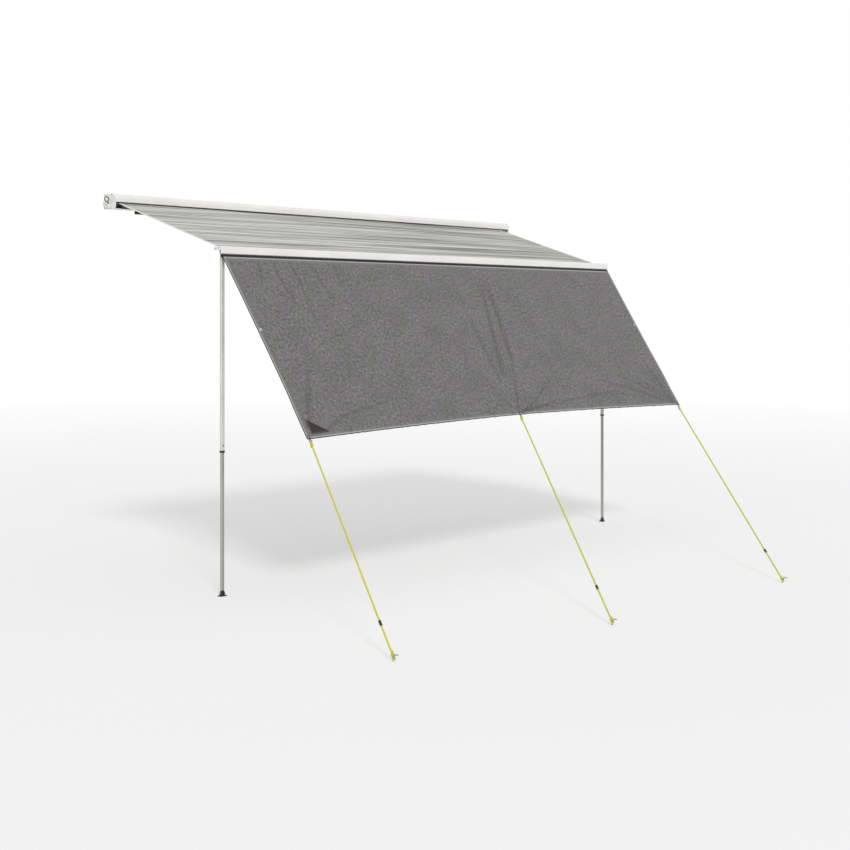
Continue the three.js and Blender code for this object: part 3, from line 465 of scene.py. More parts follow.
def screenPoint(across, down, height=0):
    bay = min(1, abs(abs(across) * 2 - 1) * screen["hemCurve"])
    scallop = screen["scallop"] * (1 - bay * bay) * down + screen["rise"] * (1 - abs(across))
    bow = 1 - (2 * down - 1) ** 2
    x = across * (
        screen["width"] / 2 - screen["sideDraw"] * bow + screen["flare"] * (1 - down))
    run = screen["start"] + (screen["length"] - screen["start"] - scallop) * down
    top = Vector((x, *screen["top"]))
    return top + screenDown * run + screenNormal * (foldLift(across, down) + height)


lowEyelets = 1 - screen["eyeletDrop"] / screen["length"]
screenEyelets = dict(
    left=(-2.193, lowEyelets), centre=(0.0, lowEyelets), right=(2.193, lowEyelets),
    leftSide=(-2.187, screen["sideEyelets"]), rightSide=(2.187, screen["sideEyelets"]))
holeAcross = screen["eyeletHole"] / screen["width"]
holeDown = screen["eyeletHole"] / screen["length"]
holeSpans = []
for x, down in screenEyelets.values():
    middle = 0.5 + x / screen["width"]
    holeSpans.append(
        (middle - holeAcross, middle + holeAcross, down - holeDown, down + holeDown))
cutsAcross = {round(c, 7) for span in holeSpans for c in span[:2]}
cutsDown = {round(c, 7) for span in holeSpans for c in span[2:]}
cutsAcross.update(hemCuts(screen["hem"], screen["width"]))
cutsDown.update(hemCuts(screen["hem"], screen["length"]))
screenGrid = clothGrid(screen["columns"], screen["rows"], sorted(cutsAcross), sorted(cutsDown))
holed = []
for face in screenGrid.faces:
    middle = face.calc_center_median()
    if any(low < middle.x < high and top < middle.y < bottom
           for low, high, top, bottom in holeSpans):
        holed.append(face)
bmesh.ops.delete(screenGrid, geom=holed, context="FACES")

screenCloth = clothObject(
    "screenCloth", screenGrid, screen, screen["width"], screen["length"],
    lambda across, down: screenPoint(2 * across - 1, down), endHems=True,
    # the crease lift, kept for the painted shade and highlight on the creases
    creaseShade=lambda across, down: creaseLift(
        (across - 0.5) * screen["width"], screenRun(2 * across - 1, down)) / screen["toneDepth"],
)
looks.append((screenCloth, "screenCloth"))
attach(screenCloth, "screen")
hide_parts("front_screen")
print("cloths made")


# Eyelets, links and a patch on the screen
eyelet = dict(
    rise=0.0021,
    steps=28,
    profile=(  # radius, then height as a share of rise
        (0.0056, 0), (0.0056, 0.7), (0.0068, 1.25), (0.0082, 1.2), (0.0119, 0.78),
        (0.0125, 0.55), (0.0125, 0)),
)
link = dict(wire=0.0013, half=0.0042, seat=0.0022, steps=24)


# A pressed ring with a rolled lip on both faces of the cloth
def addEyelet(name, x, down):
    bm = bmesh.new()
    spots = [bm.verts.new((r, 0, share * eyelet["rise"])) for r, share in eyelet["profile"]]
    for pair in zip(spots, spots[1:]):
        bm.edges.new(pair)
    bmesh.ops.spin(
        bm, geom=bm.verts[:] + bm.edges[:], cent=(0, 0, 0), axis=(0, 0, 1),
        angle=2 * pi, steps=eyelet["steps"], use_merge=True,
    )
    bmesh.ops.mirror(bm, geom=bm.verts[:] + bm.edges[:] + bm.faces[:], axis="Z", merge_dist=1e-5)
    bmesh.ops.remove_doubles(bm, verts=bm.verts, dist=1e-6)
    bmesh.ops.recalc_face_normals(bm, faces=bm.faces)
    across = 2 * x / screen["width"]
    bmesh.ops.transform(
        bm, matrix=placed(screenPoint(across, down), screenNormal), verts=bm.verts)
    return meshFrom(name, bm, angle=50)


onScreen = []
for name, (x, down) in screenEyelets.items():
    piece = addEyelet(f"{name}Eyelet", x, down)
    looks.append((piece, "steel" if "Side" in name else "darkSteel"))
    onScreen.append(piece)
for name in rings["places"]:
    x, down = screenEyelets[name]
    top = screenPoint(2 * x / screen["width"], down)
    low = Vector(rings["places"][name]) - screenDown * (
        rings["radius"] - rings["wire"] - link["seat"])
    points = []
    for i in range(link["steps"] + 1):  # a long link that passes through the eyelet and the ring
        angle = 2 * pi * i / link["steps"]
        middle = top if cos(angle) > 0 else low
        swing = -screenDown * cos(angle) * link["half"] + screenNormal * sin(angle) * link["half"]
        points.append(middle + swing)
    piece = addRope(f"{name}Link", points, link["wire"])
    looks.append((piece, "darkSteel"))
    onScreen.append(piece)

patch = dict(
    width=0.165, height=0.106, thickness=0.0009, gap=0.0005, side=0.058, low=0.032, cells=24)
patchLift = screen["thickness"] / 2 + patch["gap"] + patch["thickness"] / 2


def patchPoint(across, up):
    aside = patch["side"] + across * patch["width"]
    down = 1 - (patch["low"] + up * patch["height"]) / screen["length"]
    return screenPoint(2 * aside / screen["width"] - 1, down, patchLift)


# A sewn triangle that strengthens the left lower corner
bm = clothGrid(patch["cells"], patch["cells"])
bmesh.ops.bisect_plane(
    bm, geom=bm.verts[:] + bm.edges[:] + bm.faces[:], dist=1e-6,
    plane_co=(1, 0, 0), plane_no=(1, 1, 0), clear_outer=True,
)
bmesh.ops.remove_doubles(bm, verts=bm.verts, dist=1e-6)
bendCloth(bm, patch["width"], patch["height"], patchPoint, screenNormal)
leftPatch = meshFrom("leftPatch", bm, angle=80)
addWall(leftPatch, patch["thickness"])
looks.append((leftPatch, "patchCloth"))
onScreen.append(leftPatch)
for piece in onScreen:
    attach(piece, "screen")


# Edge cords in the rail's grooves
cordHalf = screen["width"] / 2 + screen["flare"]
edgeCord = dict(radius=0.0031, sides=20, roofPlace=(-1.103608, -0.277066))
for name, place, left, right, body in (
    ("roof", edgeCord["roofPlace"], roof["left"], roof["right"], "lead_rail"),
    ("screen", screen["top"], -cordHalf, cordHalf, "screen"),
):
    bm = bmesh.new()
    addDrum(bm, edgeCord["radius"], right - left, edgeCord["sides"])
    middle = ((left + right) / 2, *place)
    bmesh.ops.transform(bm, matrix=placed(middle, (1, 0, 0)), verts=bm.verts)
    tube = meshFrom(f"{name}EdgeCord", bm, angle=50)
    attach(tube, body)
    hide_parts(f"{name}_keder")
    looks.append((tube, "edgeCord"))
print("screen pieces made:", len(onScreen))


# Fasteners and trims, each with the body that carries it
fastenerSizes = dict(
    capScrew=dict(radius=0.0042, height=0.0022, socket=0.0019, finish="steel"),
    boxScrew=dict(radius=0.0032, height=0.0016, socket=0.0015, finish="steel"),
    railScrew=dict(radius=0.003, height=0.0014, socket=0.0014, finish="blackPlastic"),
    tubeRivet=dict(radius=0.0024, height=0.0009, finish="blackPlastic"),
    tiltRivet=dict(radius=0.0045, height=0.0015, finish="blackPlastic"),
    foldRivet=dict(radius=0.0048, height=0.0014, finish="steel"),
    hexBolt=dict(radius=0.0058, height=0.0042, sides=6, washer=0.0085, washerHeight=0.0012,
                 finish="steel"),
    boxCover=dict(radius=0.0125, height=0.0014, finish="caseWhite"),
)
heads = dict(sides=24, washerSides=28, bevel=0.45, socketDepth=0.6, socketDraft=0.0001)


# A fastener's head from its seat up: a washer if it has one, a bevelled head, a socket
def addHead(name, kind, place, way, body):
    facts = fastenerSizes[kind]
    bm = bmesh.new()
    lift = facts.get("washerHeight", 0)
    if lift:
        addDrum(bm, facts["washer"], lift, heads["washerSides"], lift / 2)
    crown = lift + facts["height"]
    addDrum(bm, facts["radius"], facts["height"], facts.get("sides", heads["sides"]),
            lift + facts["height"] / 2)
    rim = [edge for edge in bm.edges if all(abs(v.co.z - crown) < 1e-6 for v in edge.verts)]
    bmesh.ops.bevel(
        bm, geom=rim, offset=facts["height"] * heads["bevel"], segments=3, profile=0.5,
        material=-1, affect="EDGES")
    if "socket" in facts:
        top = max(bm.faces, key=lambda face: face.calc_center_median().z)
        width = sum(v.co.xy.length for v in top.verts) / len(top.verts)
        bmesh.ops.inset_individual(bm, faces=[top], thickness=width - facts["socket"])
        bmesh.ops.inset_individual(bm, faces=[top], thickness=heads["socketDraft"],
                                   depth=-facts["height"] * heads["socketDepth"])
    bmesh.ops.transform(bm, matrix=placed(place, way), verts=bm.verts)
    head = meshFrom(name, bm, angle=40)
    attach(head, body)
    looks.append((head, facts["finish"]))


seats = dict(
    capX=2.2593, capScrews=((0.05425, 0.12025), (0.05425, 0.02775), (-0.026, 0.12025)),
    railX=2.2553, railScrews=((-1.143, -0.2805), (-1.1045, -0.2895)),
    legX=2.216, railY=-1.127608, tiltHalf=0.0149, tiltZ=-0.307066, tubeHalf=0.0145,
    tubeRivets=(-0.357, -0.374), foldHalf=0.013, foldZ=-0.327066,
    boxX=-2.2776, boxRing=0.019, boxTurns=(90, 210, 330),
    drum=(0.026333, 0.060617),  # y and z of the roller's axis
    brackets=dict(Left=-1.95, Middle=0, Right=1.95), boltHalf=0.025,
    backBolts=(0.0653, 0.056), roofBolts=(0.012, 0.005))
for side, name in ((-1, "left"), (1, "right")):
    legX, railY = side * seats["legX"], seats["railY"]
    for i, spot in enumerate(seats["capScrews"]):
        addHead(f"{name}CapScrew{i}", "capScrew", (side * seats["capX"], *spot), (side, 0, 0),
                "case")
    for i, spot in enumerate(seats["railScrews"]):
        addHead(f"{name}RailScrew{i}", "railScrew", (side * seats["railX"], *spot), (side, 0, 0),
                "lead_rail")
    for end in (-1, 1):
        label = f"{name}{'Inner' if end * side < 0 else 'Outer'}"
        addHead(f"{label}TiltRivet", "tiltRivet",
                (legX + end * seats["tiltHalf"], railY, seats["tiltZ"]), (end, 0, 0), "lead_rail")
        for i, z in enumerate(seats["tubeRivets"]):
            addHead(f"{label}TubeRivet{i}", "tubeRivet",
                    (legX + end * seats["tubeHalf"], railY, z), (end, 0, 0), f"{name}_leg")
        addHead(f"{name}{'Front' if end < 0 else 'Back'}FoldRivet", "foldRivet",
                (legX, railY + end * seats["foldHalf"], seats["foldZ"]), (0, end, 0),
                f"{name}_knuckle")
drumY, drumZ = seats["drum"]
for i, turn in enumerate(seats["boxTurns"]):
    y = drumY + seats["boxRing"] * cos(radians(turn))
    z = drumZ + seats["boxRing"] * sin(radians(turn))
    addHead(f"boxScrew{i}", "boxScrew", (seats["boxX"], y, z), (-1, 0, 0), "case")
addHead("boxCover", "boxCover", (seats["boxX"], drumY, drumZ), (-1, 0, 0), "case")
for label, x in seats["brackets"].items():
    for end, mark in ((-1, "A"), (1, "B")):
        boltX = x + end * seats["boltHalf"]
        addHead(f"backBolt{label}{mark}", "hexBolt", (boltX, *seats["backBolts"]), (0, 1, 0),
                "case")
        addHead(f"roofBolt{label}{mark}", "hexBolt", (boltX, *seats["roofBolts"]), (0, 0, 1),
                "case")

# A black strip along the case's lip, over the cloth: partly a rubber wiper, partly painted shade
# of the gap under the lip
wiperAndShadeStrip = dict(half=2.2485, front=-0.0628, back=-0.0603, low=0.0606, high=0.0696, round=0.0008)
bm = bmesh.new()
bmesh.ops.create_cube(bm, size=1)
bmesh.ops.scale(bm, verts=bm.verts, vec=(
    2 * wiperAndShadeStrip["half"], wiperAndShadeStrip["back"] - wiperAndShadeStrip["front"], wiperAndShadeStrip["high"] - wiperAndShadeStrip["low"]))
bmesh.ops.translate(bm, verts=bm.verts, vec=(
    0, (wiperAndShadeStrip["front"] + wiperAndShadeStrip["back"]) / 2, (wiperAndShadeStrip["low"] + wiperAndShadeStrip["high"]) / 2))
rim = [edge for edge in bm.edges if all(v.co.y < wiperAndShadeStrip["front"] + 1e-5 for v in edge.verts)]
bmesh.ops.bevel(
    bm, geom=rim, offset=wiperAndShadeStrip["round"], segments=2, profile=0.5, material=-1, affect="EDGES")
lipWiper = meshFrom("lipWiper", bm, angle=60)
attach(lipWiper, "case")
looks.append((lipWiper, "blackPlastic"))
print("fasteners and trims made")


# Finishes. A colour as written, #RRGGBB, in the shader's own scale
def linear(code):
    parts = [int(code[i:i + 2], 16) / 255 for i in (1, 3, 5)]
    return tuple(p / 12.92 if p <= 0.04045 else ((p + 0.055) / 1.055) ** 2.4 for p in parts) + (1,)


# Sets a node's inputs, or links those whose value is another node's socket
def feed(tree, node, values):
    for socket, value in values.items():
        if isinstance(value, bpy.types.NodeSocket):
            tree.links.new(value, node.inputs[socket])
        else:
            node.inputs[socket].default_value = value
    return node


def addNode(tree, kind, values=None, **settings):
    made = tree.nodes.new(kind if "Node" in kind else "ShaderNode" + kind)
    for name, value in settings.items():
        setattr(made, name, value)
    return feed(tree, made, values or {})


def firstOf(tree, kind, values=None, **settings):
    return addNode(tree, kind, values, **settings).outputs[0]


def maths(tree, operation, *values, clamp=False):
    return firstOf(tree, "Math", dict(enumerate(values)), operation=operation, use_clamp=clamp)


def times(tree, first, second, clamp=False):
    return maths(tree, "MULTIPLY", first, second, clamp=clamp)


# Each colour is a written one or a socket
def mix(tree, factor, first, second, blend="MIX"):
    first, second = (linear(c) if isinstance(c, str) else c for c in (first, second))
    made = addNode(
        tree, "Mix", {0: factor, 6: first, 7: second}, data_type="RGBA", blend_type=blend)
    return made.outputs[2]


def spread(tree, value, low, high, newLow=0, newHigh=1):
    return firstOf(
        tree, "MapRange", {0: value, 1: low, 2: high, 3: newLow, 4: newHigh}, clamp=True)


def shaded(tree, colour, value, *limits):
    return mix(tree, 1, colour, spread(tree, value, *limits), "MULTIPLY")


def noise(tree, vector, scale, detail, **more):
    values = {"Vector": vector, "Scale": scale, "Detail": detail, **more}
    return firstOf(tree, "TexNoise", values)


def stretched(tree, vector, share):
    return firstOf(tree, "VectorMath", {0: vector, 1: (share, 1, 1)}, operation="MULTIPLY")


# An empty group that takes a vector and named values
def newGroup(name, values, outputs):
    tree = bpy.data.node_groups.new(name, "ShaderNodeTree")
    tree.interface.new_socket("Vector", in_out="INPUT", socket_type="NodeSocketVector")
    for label, value in values.items():
        socket = tree.interface.new_socket(label, in_out="INPUT", socket_type="NodeSocketFloat")
        socket.default_value = value
    for label in outputs:
        kind = "NodeSocketVector" if label == "Normal" else "NodeSocketFloat"
        tree.interface.new_socket(label, in_out="OUTPUT", socket_type=kind)
    return tree, tree.nodes.new("NodeGroupInput").outputs, tree.nodes.new("NodeGroupOutput")


def useGroup(tree, name, **values):
    made = tree.nodes.new("ShaderNodeGroup")
    made.node_tree = groups[name]
    return feed(tree, made, values).outputs


def wearGroup():
    tree, given, result = newGroup(
        "edgeWear", dict(Radius=0.0015, Amount=0.5), ["Mask", "Normal"])
    rounded = firstOf(tree, "Bevel", {"Radius": given["Radius"]}, samples=4)
    true = addNode(tree, "NewGeometry").outputs["Normal"]
    dot = addNode(tree, "VectorMath", {0: rounded, 1: true}, operation="DOT_PRODUCT")
    corner = spread(tree, maths(tree, "SUBTRACT", 1, dot.outputs["Value"]), 0.04, 0.16)
    broken = spread(tree, noise(tree, given["Vector"], 70, 5), 0.42, 0.62)
    worn = times(tree, corner, broken)
    worn = times(tree, worn, given["Amount"], clamp=True)
    feed(tree, result, {"Mask": worn, "Normal": rounded})
    return tree


def grainGroup():
    tree, given, result = newGroup(
        "coatGrain", dict(Fine=900, Broad=6), ["Height", "Broad"])
    fine = noise(tree, given["Vector"], given["Fine"], 3)
    broad = noise(tree, given["Vector"], given["Broad"], 4, Roughness=0.6)
    height = maths(tree, "MULTIPLY_ADD", broad, 0.4, fine)
    feed(tree, result, {"Height": height, "Broad": broad})
    return tree


def dustGroup():
    tree, given, result = newGroup("roadDust", dict(Amount=0.3), ["Mask"])
    cloud = spread(tree, noise(tree, given["Vector"], 14, 6, Roughness=0.65), 0.4, 0.75)
    speck = spread(tree, noise(tree, given["Vector"], 260, 2), 0.55, 0.8)
    true = addNode(tree, "NewGeometry").outputs["Normal"]
    up = addNode(tree, "SeparateXYZ", {0: true}).outputs[2]
    both = maths(tree, "ADD", cloud, times(tree, speck, 0.6))
    mask = times(tree, both, spread(tree, up, -0.2, 1, 0.35, 1))
    mask = times(tree, mask, given["Amount"], clamp=True)
    feed(tree, result, {"Mask": mask})
    return tree


# Fine lines that drawing through a die leaves along a profile's X
def drawnGroup():
    tree, given, result = newGroup("dieLines", dict(Scale=600), ["Lines"])
    flat = stretched(tree, given["Vector"], 0.006)
    feed(tree, result, {"Lines": noise(tree, flat, given["Scale"], 3)})
    return tree


def weaveGroup():
    tree, given, result = newGroup("plainWeave", dict(Threads=700), ["Height", "Slub"])
    parts = addNode(tree, "SeparateXYZ", {0: given["Vector"]}).outputs
    turn = times(tree, given["Threads"], pi)
    warp, weft = (
        maths(tree, "SINE", times(tree, part, turn)) for part in parts[:2])
    height = maths(tree, "MULTIPLY_ADD", times(tree, warp, weft), 0.5, 0.5)
    slub = noise(tree, stretched(tree, given["Vector"], 0.12), 420, 3)
    feed(tree, result, {"Height": height, "Slub": slub})
    return tree


# Masks for a cloth's edge, tape, hem and stitches, from a UV map in metres
def hemGroup():
    tree, given, result = newGroup(
        "sewnEdges",
        dict(Width=4, Length=1, LowClear=0, TopClear=0, Edge=0.004, Tape=0.012,
             Hem=0.03, Pitch=0.006),
        ["Edge", "Tape", "Hem", "Stitch"])
    u, v = addNode(tree, "SeparateXYZ", {0: given["Vector"]}).outputs[:2]
    sideGap = maths(tree, "MINIMUM", u, maths(tree, "SUBTRACT", given["Width"], u))
    lowGap = maths(tree, "ADD", maths(tree, "SUBTRACT", given["Length"], v), given["LowClear"])
    topGap = maths(tree, "ADD", v, given["TopClear"])
    endGap = maths(tree, "MINIMUM", lowGap, topGap)
    gap = maths(tree, "MINIMUM", sideGap, endGap)

    def within(limit):
        return spread(tree, maths(tree, "SUBTRACT", gap, limit), -0.0004, 0.0004, 1, 0)

    edge = within(given["Edge"])
    tape = maths(tree, "SUBTRACT", within(given["Tape"]), edge, clamp=True)
    rows = []
    for inset in (0.004, 0.0105):  # a double row of stitches inside the hem's inner edge
        line = maths(tree, "SUBTRACT", given["Hem"], inset)
        off = maths(tree, "ABSOLUTE", maths(tree, "SUBTRACT", gap, line))
        rows.append(spread(tree, off, 0.0005, 0.0008, 1, 0))
    bySide = maths(tree, "LESS_THAN", sideGap, endGap)
    along = firstOf(tree, "Mix", {0: bySide, 2: u, 3: v}, data_type="FLOAT")
    beat = maths(tree, "FRACT", maths(tree, "DIVIDE", along, given["Pitch"]))
    dash = maths(tree, "LESS_THAN", beat, 0.66)
    stitch = times(tree, maths(tree, "MAXIMUM", *rows), dash)
    feed(tree, result, {
        "Edge": edge, "Tape": tape, "Hem": within(given["Hem"]), "Stitch": stitch})
    return tree


groups = dict(
    wear=wearGroup(), grain=grainGroup(), dust=dustGroup(), drawn=drawnGroup(),
    weave=weaveGroup(), hem=hemGroup(),
)


def newMaterial(name):
    material = bpy.data.materials.new(name)
    material.use_nodes = True
    return material, material.node_tree


# Gives a material its colour, roughness, bump (strength, distance, height) and constants
def dress(material, colour, rough, bump, constants=None):
    tree = material.node_tree
    normal = firstOf(tree, "Bump", dict(zip(("Strength", "Distance", "Height", "Normal"), bump)))
    feed(tree, tree.nodes["Principled BSDF"], {
        "Base Color": colour, "Roughness": rough, "Normal": normal, **(constants or {})})
    return material


def objectPoint(tree, scale=(1, 1, 1), turn=(0, 0, 0)):
    point = addNode(tree, "TexCoord").outputs["Object"]
    if scale == (1, 1, 1) and turn == (0, 0, 0):
        return point
    return firstOf(tree, "Mapping", {"Vector": point, "Scale": scale, "Rotation": turn})


def uvPoint(tree, name="cloth"):
    return firstOf(tree, "UVMap", uv_map=name)


# Coated or bare metal with grain, dust, die lines along one axis and worn edges
def paintedMetal(name, facts):
    material, tree = newMaterial(name)
    point = objectPoint(tree)
    grain = useGroup(tree, "grain", Vector=point, Fine=facts["fine"], Broad=facts["broad"])
    dust = useGroup(tree, "dust", Vector=point, Amount=facts["dust"])["Mask"]
    wear = useGroup(tree, "wear", Vector=point, Radius=facts["edge"], Amount=facts["worn"])
    colour = mix(tree, spread(tree, grain["Broad"], 0.3, 0.7), facts["shade"], facts["colour"])
    height = grain["Height"]
    if "lines" in facts:
        lines = useGroup(tree, "drawn", Vector=objectPoint(tree, turn=facts["lines"]),
                         Scale=facts["lineScale"])["Lines"]
        streak = times(tree, spread(tree, lines, 0.35, 0.65), facts["streak"])
        colour = mix(tree, streak, colour, facts["shade"])
        height = maths(tree, "MULTIPLY_ADD", lines, facts["lineHeight"], height)
    colour = mix(tree, dust, colour, facts["dustColour"])
    colour = mix(tree, wear["Mask"], colour, facts["bare"])
    rough = spread(tree, grain["Broad"], 0.3, 0.7, facts["rough"] - 0.05, facts["rough"] + 0.07)
    rough = maths(tree, "MULTIPLY_ADD", dust, 0.3, rough, clamp=True)
    bump = (facts["bump"], 0.0002, height, wear["Normal"])
    return dress(material, colour, rough, bump, {"Metallic": facts["metal"]})


alongX = (0, 0, 0)
alongZ = (0, radians(90), 0)
metalFacts = dict(
    caseWhite=dict(
        colour="#EDECE8", shade="#E2E0DC", dustColour="#BDB9AF", bare="#B9BBBC", fine=700,
        broad=3, dust=0.16, edge=0.0012, worn=0.45, rough=0.36, metal=0, bump=0.12,
        lines=alongX, lineScale=500, streak=0.35, lineHeight=0.5),
    legWhite=dict(
        colour="#DDDCD5", shade="#CDCCC3", dustColour="#A9A69B", bare="#A9AAA8", fine=800,
        broad=5, dust=0.2, edge=0.0009, worn=0.4, rough=0.38, metal=0.15, bump=0.12,
        lines=alongZ, lineScale=700, streak=0.5, lineHeight=0.8),
    armWhite=dict(
        colour="#DEDDD8", shade="#CFCEC8", dustColour="#A7A398", bare="#8F9193", fine=800,
        broad=8, dust=0.25, edge=0.0012, worn=0.6, rough=0.42, metal=0.1, bump=0.14),
    tubeMetal=dict(
        colour="#B9B9B1", shade="#A6A69D", dustColour="#8C897E", bare="#D2D3D2", fine=900,
        broad=6, dust=0.22, edge=0.0009, worn=0.35, rough=0.36, metal=0.55, bump=0.16,
        lines=alongZ, lineScale=900, streak=0.6, lineHeight=1.2),
    rollerMetal=dict(
        colour="#C4C5C3", shade="#A9AAA9", dustColour="#8C897E", bare="#D8D9D9", fine=900,
        broad=6, dust=0.15, edge=0.0009, worn=0.3, rough=0.34, metal=0.8, bump=0.16,
        lines=alongX, lineScale=900, streak=0.6, lineHeight=1.2),
    castGrey=dict(
        colour="#77797C", shade="#5F6164", dustColour="#8E8A80", bare="#B3B5B7", fine=420,
        broad=22, dust=0.3, edge=0.0012, worn=0.8, rough=0.48, metal=0.45, bump=0.5),
    steel=dict(
        colour="#B9BCC0", shade="#9EA1A6", dustColour="#8A8577", bare="#DDDFE1", fine=1100,
        broad=40, dust=0.2, edge=0.0006, worn=0.6, rough=0.27, metal=0.9, bump=0.25),
    darkSteel=dict(
        colour="#4A4C50", shade="#393B3E", dustColour="#7A766C", bare="#A9ABAD", fine=1100,
        broad=40, dust=0.15, edge=0.0004, worn=0.5, rough=0.34, metal=0.6, bump=0.25),
    blackPlastic=dict(
        colour="#1C1D1F", shade="#131415", dustColour="#6E6B63", bare="#4A4B4D", fine=1300,
        broad=30, dust=0.2, edge=0.0009, worn=0.55, rough=0.5, metal=0, bump=0.35),
)
finishes = {name: paintedMetal(name, facts) for name, facts in metalFacts.items()}


# Pale coated cloth with a long streaky grain, white side tapes and stitched hems
def roofMaterial(name, facts):
    material, tree = newMaterial(name)
    point = uvPoint(tree)
    wide, thin = (
        noise(tree, firstOf(tree, "Mapping", {"Vector": point, "Scale": stretch}), 1, detail,
              Roughness=0.62, Distortion=0.7)
        for stretch, detail in facts["streaks"])
    colour = mix(tree, spread(tree, wide, 0.4, 0.58), facts["shade"], facts["light"])
    lines = mix(tree, spread(tree, thin, 0.43, 0.56), facts["dark"], facts["light"])
    colour = mix(tree, 0.55, colour, lines)
    colour = mix(tree, spread(tree, thin, 0.37, 0.45, 0.9, 0), colour, facts["dark"])
    weave = useGroup(tree, "weave", Vector=point, Threads=1100)
    colour = shaded(tree, colour, weave["Slub"], 0.3, 0.7, 0.94, 1.05)
    sewn = useGroup(
        tree, "hem", Vector=point, Width=roofWidth, Length=roofRun, LowClear=1,
        TopClear=1, Edge=0, Tape=0.013, Hem=roof["hem"], Pitch=0.006)
    colour = mix(tree, times(tree, sewn["Hem"], 0.25), colour, facts["tape"])
    colour = mix(tree, sewn["Tape"], colour, facts["tape"])
    colour = mix(tree, sewn["Stitch"], colour, facts["stitch"])
    height = maths(tree, "MULTIPLY_ADD", sewn["Stitch"], 1.5, weave["Height"])
    rough = spread(tree, wide, 0.3, 0.7, 0.66, 0.8)
    return dress(material, colour, rough, (0.25, 0.0003, height), {"Sheen Weight": 0.08})


# Dark mesh cloth, mottled, with a dark edge, a pale tape and stitched hems; its near-black top
# band is dark tape with painted shadow of the rail's groove, and its creases get painted shade and
# highlight
def screenMaterial(name, facts):
    material, tree = newMaterial(name)
    point = uvPoint(tree)
    cloud = noise(tree, point, 5, 5, Roughness=0.6)
    mottle = noise(tree, point, 52, 4, Roughness=0.75)
    coarse = noise(tree, point, 46, 3, Roughness=0.7)
    # the creases' lift, stored on the cloth, read here for their painted shade and highlight
    crease = addNode(tree, "Attribute", attribute_name="crease").outputs["Fac"]
    tint = spread(tree, noise(tree, point, 8, 4), 0.38, 0.62)
    colour = mix(tree, tint, facts["warm"], facts["cool"])
    for value, limits, code in (
        (mottle, (0.48, 0.66, 0, 0.7), facts["light"]),
        (mottle, (0.34, 0.5, 0.7, 0), facts["dark"]),
        (cloud, (0.35, 0.7, 0, 0.4), facts["dark"]),
    ):
        colour = mix(tree, spread(tree, value, *limits), colour, code)
    colour = shaded(tree, colour, coarse, 0.36, 0.64, 0.69, 1.31)
    # painted shade in the crease valleys and painted highlight on their ridges
    colour = shaded(tree, colour, crease, -0.8, 0.3, 0.8, 1.075)
    weave = useGroup(tree, "weave", Vector=point, Threads=facts["threads"])
    colour = shaded(tree, colour, weave["Slub"], 0.3, 0.7, 0.93, 1.06)
    # TopClear below zero widens the dark edge along the top: dark tape with painted shadow of the
    # rail's groove
    sewn = useGroup(
        tree, "hem", Vector=point, Width=screen["width"], Length=screen["length"],
        TopClear=-facts["topBand"], Edge=facts["edge"], Tape=facts["tape"], Hem=screen["hem"],
        Pitch=0.006)
    colour = mix(tree, times(tree, sewn["Hem"], facts["hemShare"]), colour, facts["hemColour"])
    colour = mix(tree, sewn["Tape"], colour, facts["tapeColour"])
    # the dark edge's colour, which along the top is also the painted shadow of the rail's groove
    colour = mix(tree, sewn["Edge"], colour, facts["edgeColour"])
    colour = mix(tree, sewn["Stitch"], colour, facts["stitch"])
    height = maths(tree, "MULTIPLY_ADD", sewn["Stitch"], 1.5, weave["Height"])
    rough = spread(tree, mottle, 0.3, 0.7, 0.7, 0.86)
    return dress(material, colour, rough, (0.3, 0.0004, height))


# Close dark cloth with a row of stitches along its two square sides
def patchMaterial(name, facts):
    material, tree = newMaterial(name)
    point = uvPoint(tree)
    weave = useGroup(tree, "weave", Vector=point, Threads=900)
    blotch = noise(tree, point, 60, 4)
    colour = mix(tree, spread(tree, blotch, 0.35, 0.65), facts["dark"], facts["light"])
    sewn = useGroup(
        tree, "hem", Vector=point, Width=9, Length=9, Edge=0.0012, Tape=0.0012, Hem=0.012,
        Pitch=0.005)
    colour = mix(tree, sewn["Stitch"], colour, facts["stitch"])
    rough = spread(tree, blotch, 0.3, 0.7, 0.7, 0.85)
    return dress(material, colour, rough, (0.3, 0.0004, weave["Height"]))


# Braided cord: crossing strands that follow the cord's own UV map, with painted shade between them
def ropeMaterial(name, facts):
    material, tree = newMaterial(name)
    parts = addNode(tree, "SeparateXYZ", {0: uvPoint(tree, "UVMap")}).outputs
    around = times(tree, parts[1], facts["strands"])
    along = times(tree, parts[0], facts["pitch"])
    waves = [
        maths(tree, "SINE", times(tree, maths(tree, way, along, around), 2 * pi))
        for way in ("ADD", "SUBTRACT")
    ]
    braid = maths(tree, "MAXIMUM", *waves)
    blotch = noise(tree, objectPoint(tree), 90, 4)
    # darker where the braid is low: painted shade in the grooves between the strands
    colour = mix(tree, spread(tree, braid, -0.2, 0.9), facts["dark"], facts["colour"])
    colour = mix(tree, spread(tree, blotch, 0.5, 0.8, 0, 0.35), colour, facts["worn"])
    rough = spread(tree, blotch, 0.3, 0.7, 0.5, 0.7)
    return dress(material, colour, rough, (0.6, 0.0006, braid))


# Plain woven sleeve of the edge cords
def cordMaterial(name, facts):
    material, tree = newMaterial(name)
    point = objectPoint(tree, scale=(1, 2.2, 2.2))
    weave = useGroup(tree, "weave", Vector=point, Threads=900)
    blotch = noise(tree, point, 35, 4)
    colour = mix(tree, spread(tree, blotch, 0.3, 0.7), facts["dark"], facts["light"])
    rough = spread(tree, blotch, 0.3, 0.7, 0.65, 0.8)
    return dress(material, colour, rough, (0.3, 0.0004, weave["Height"]))


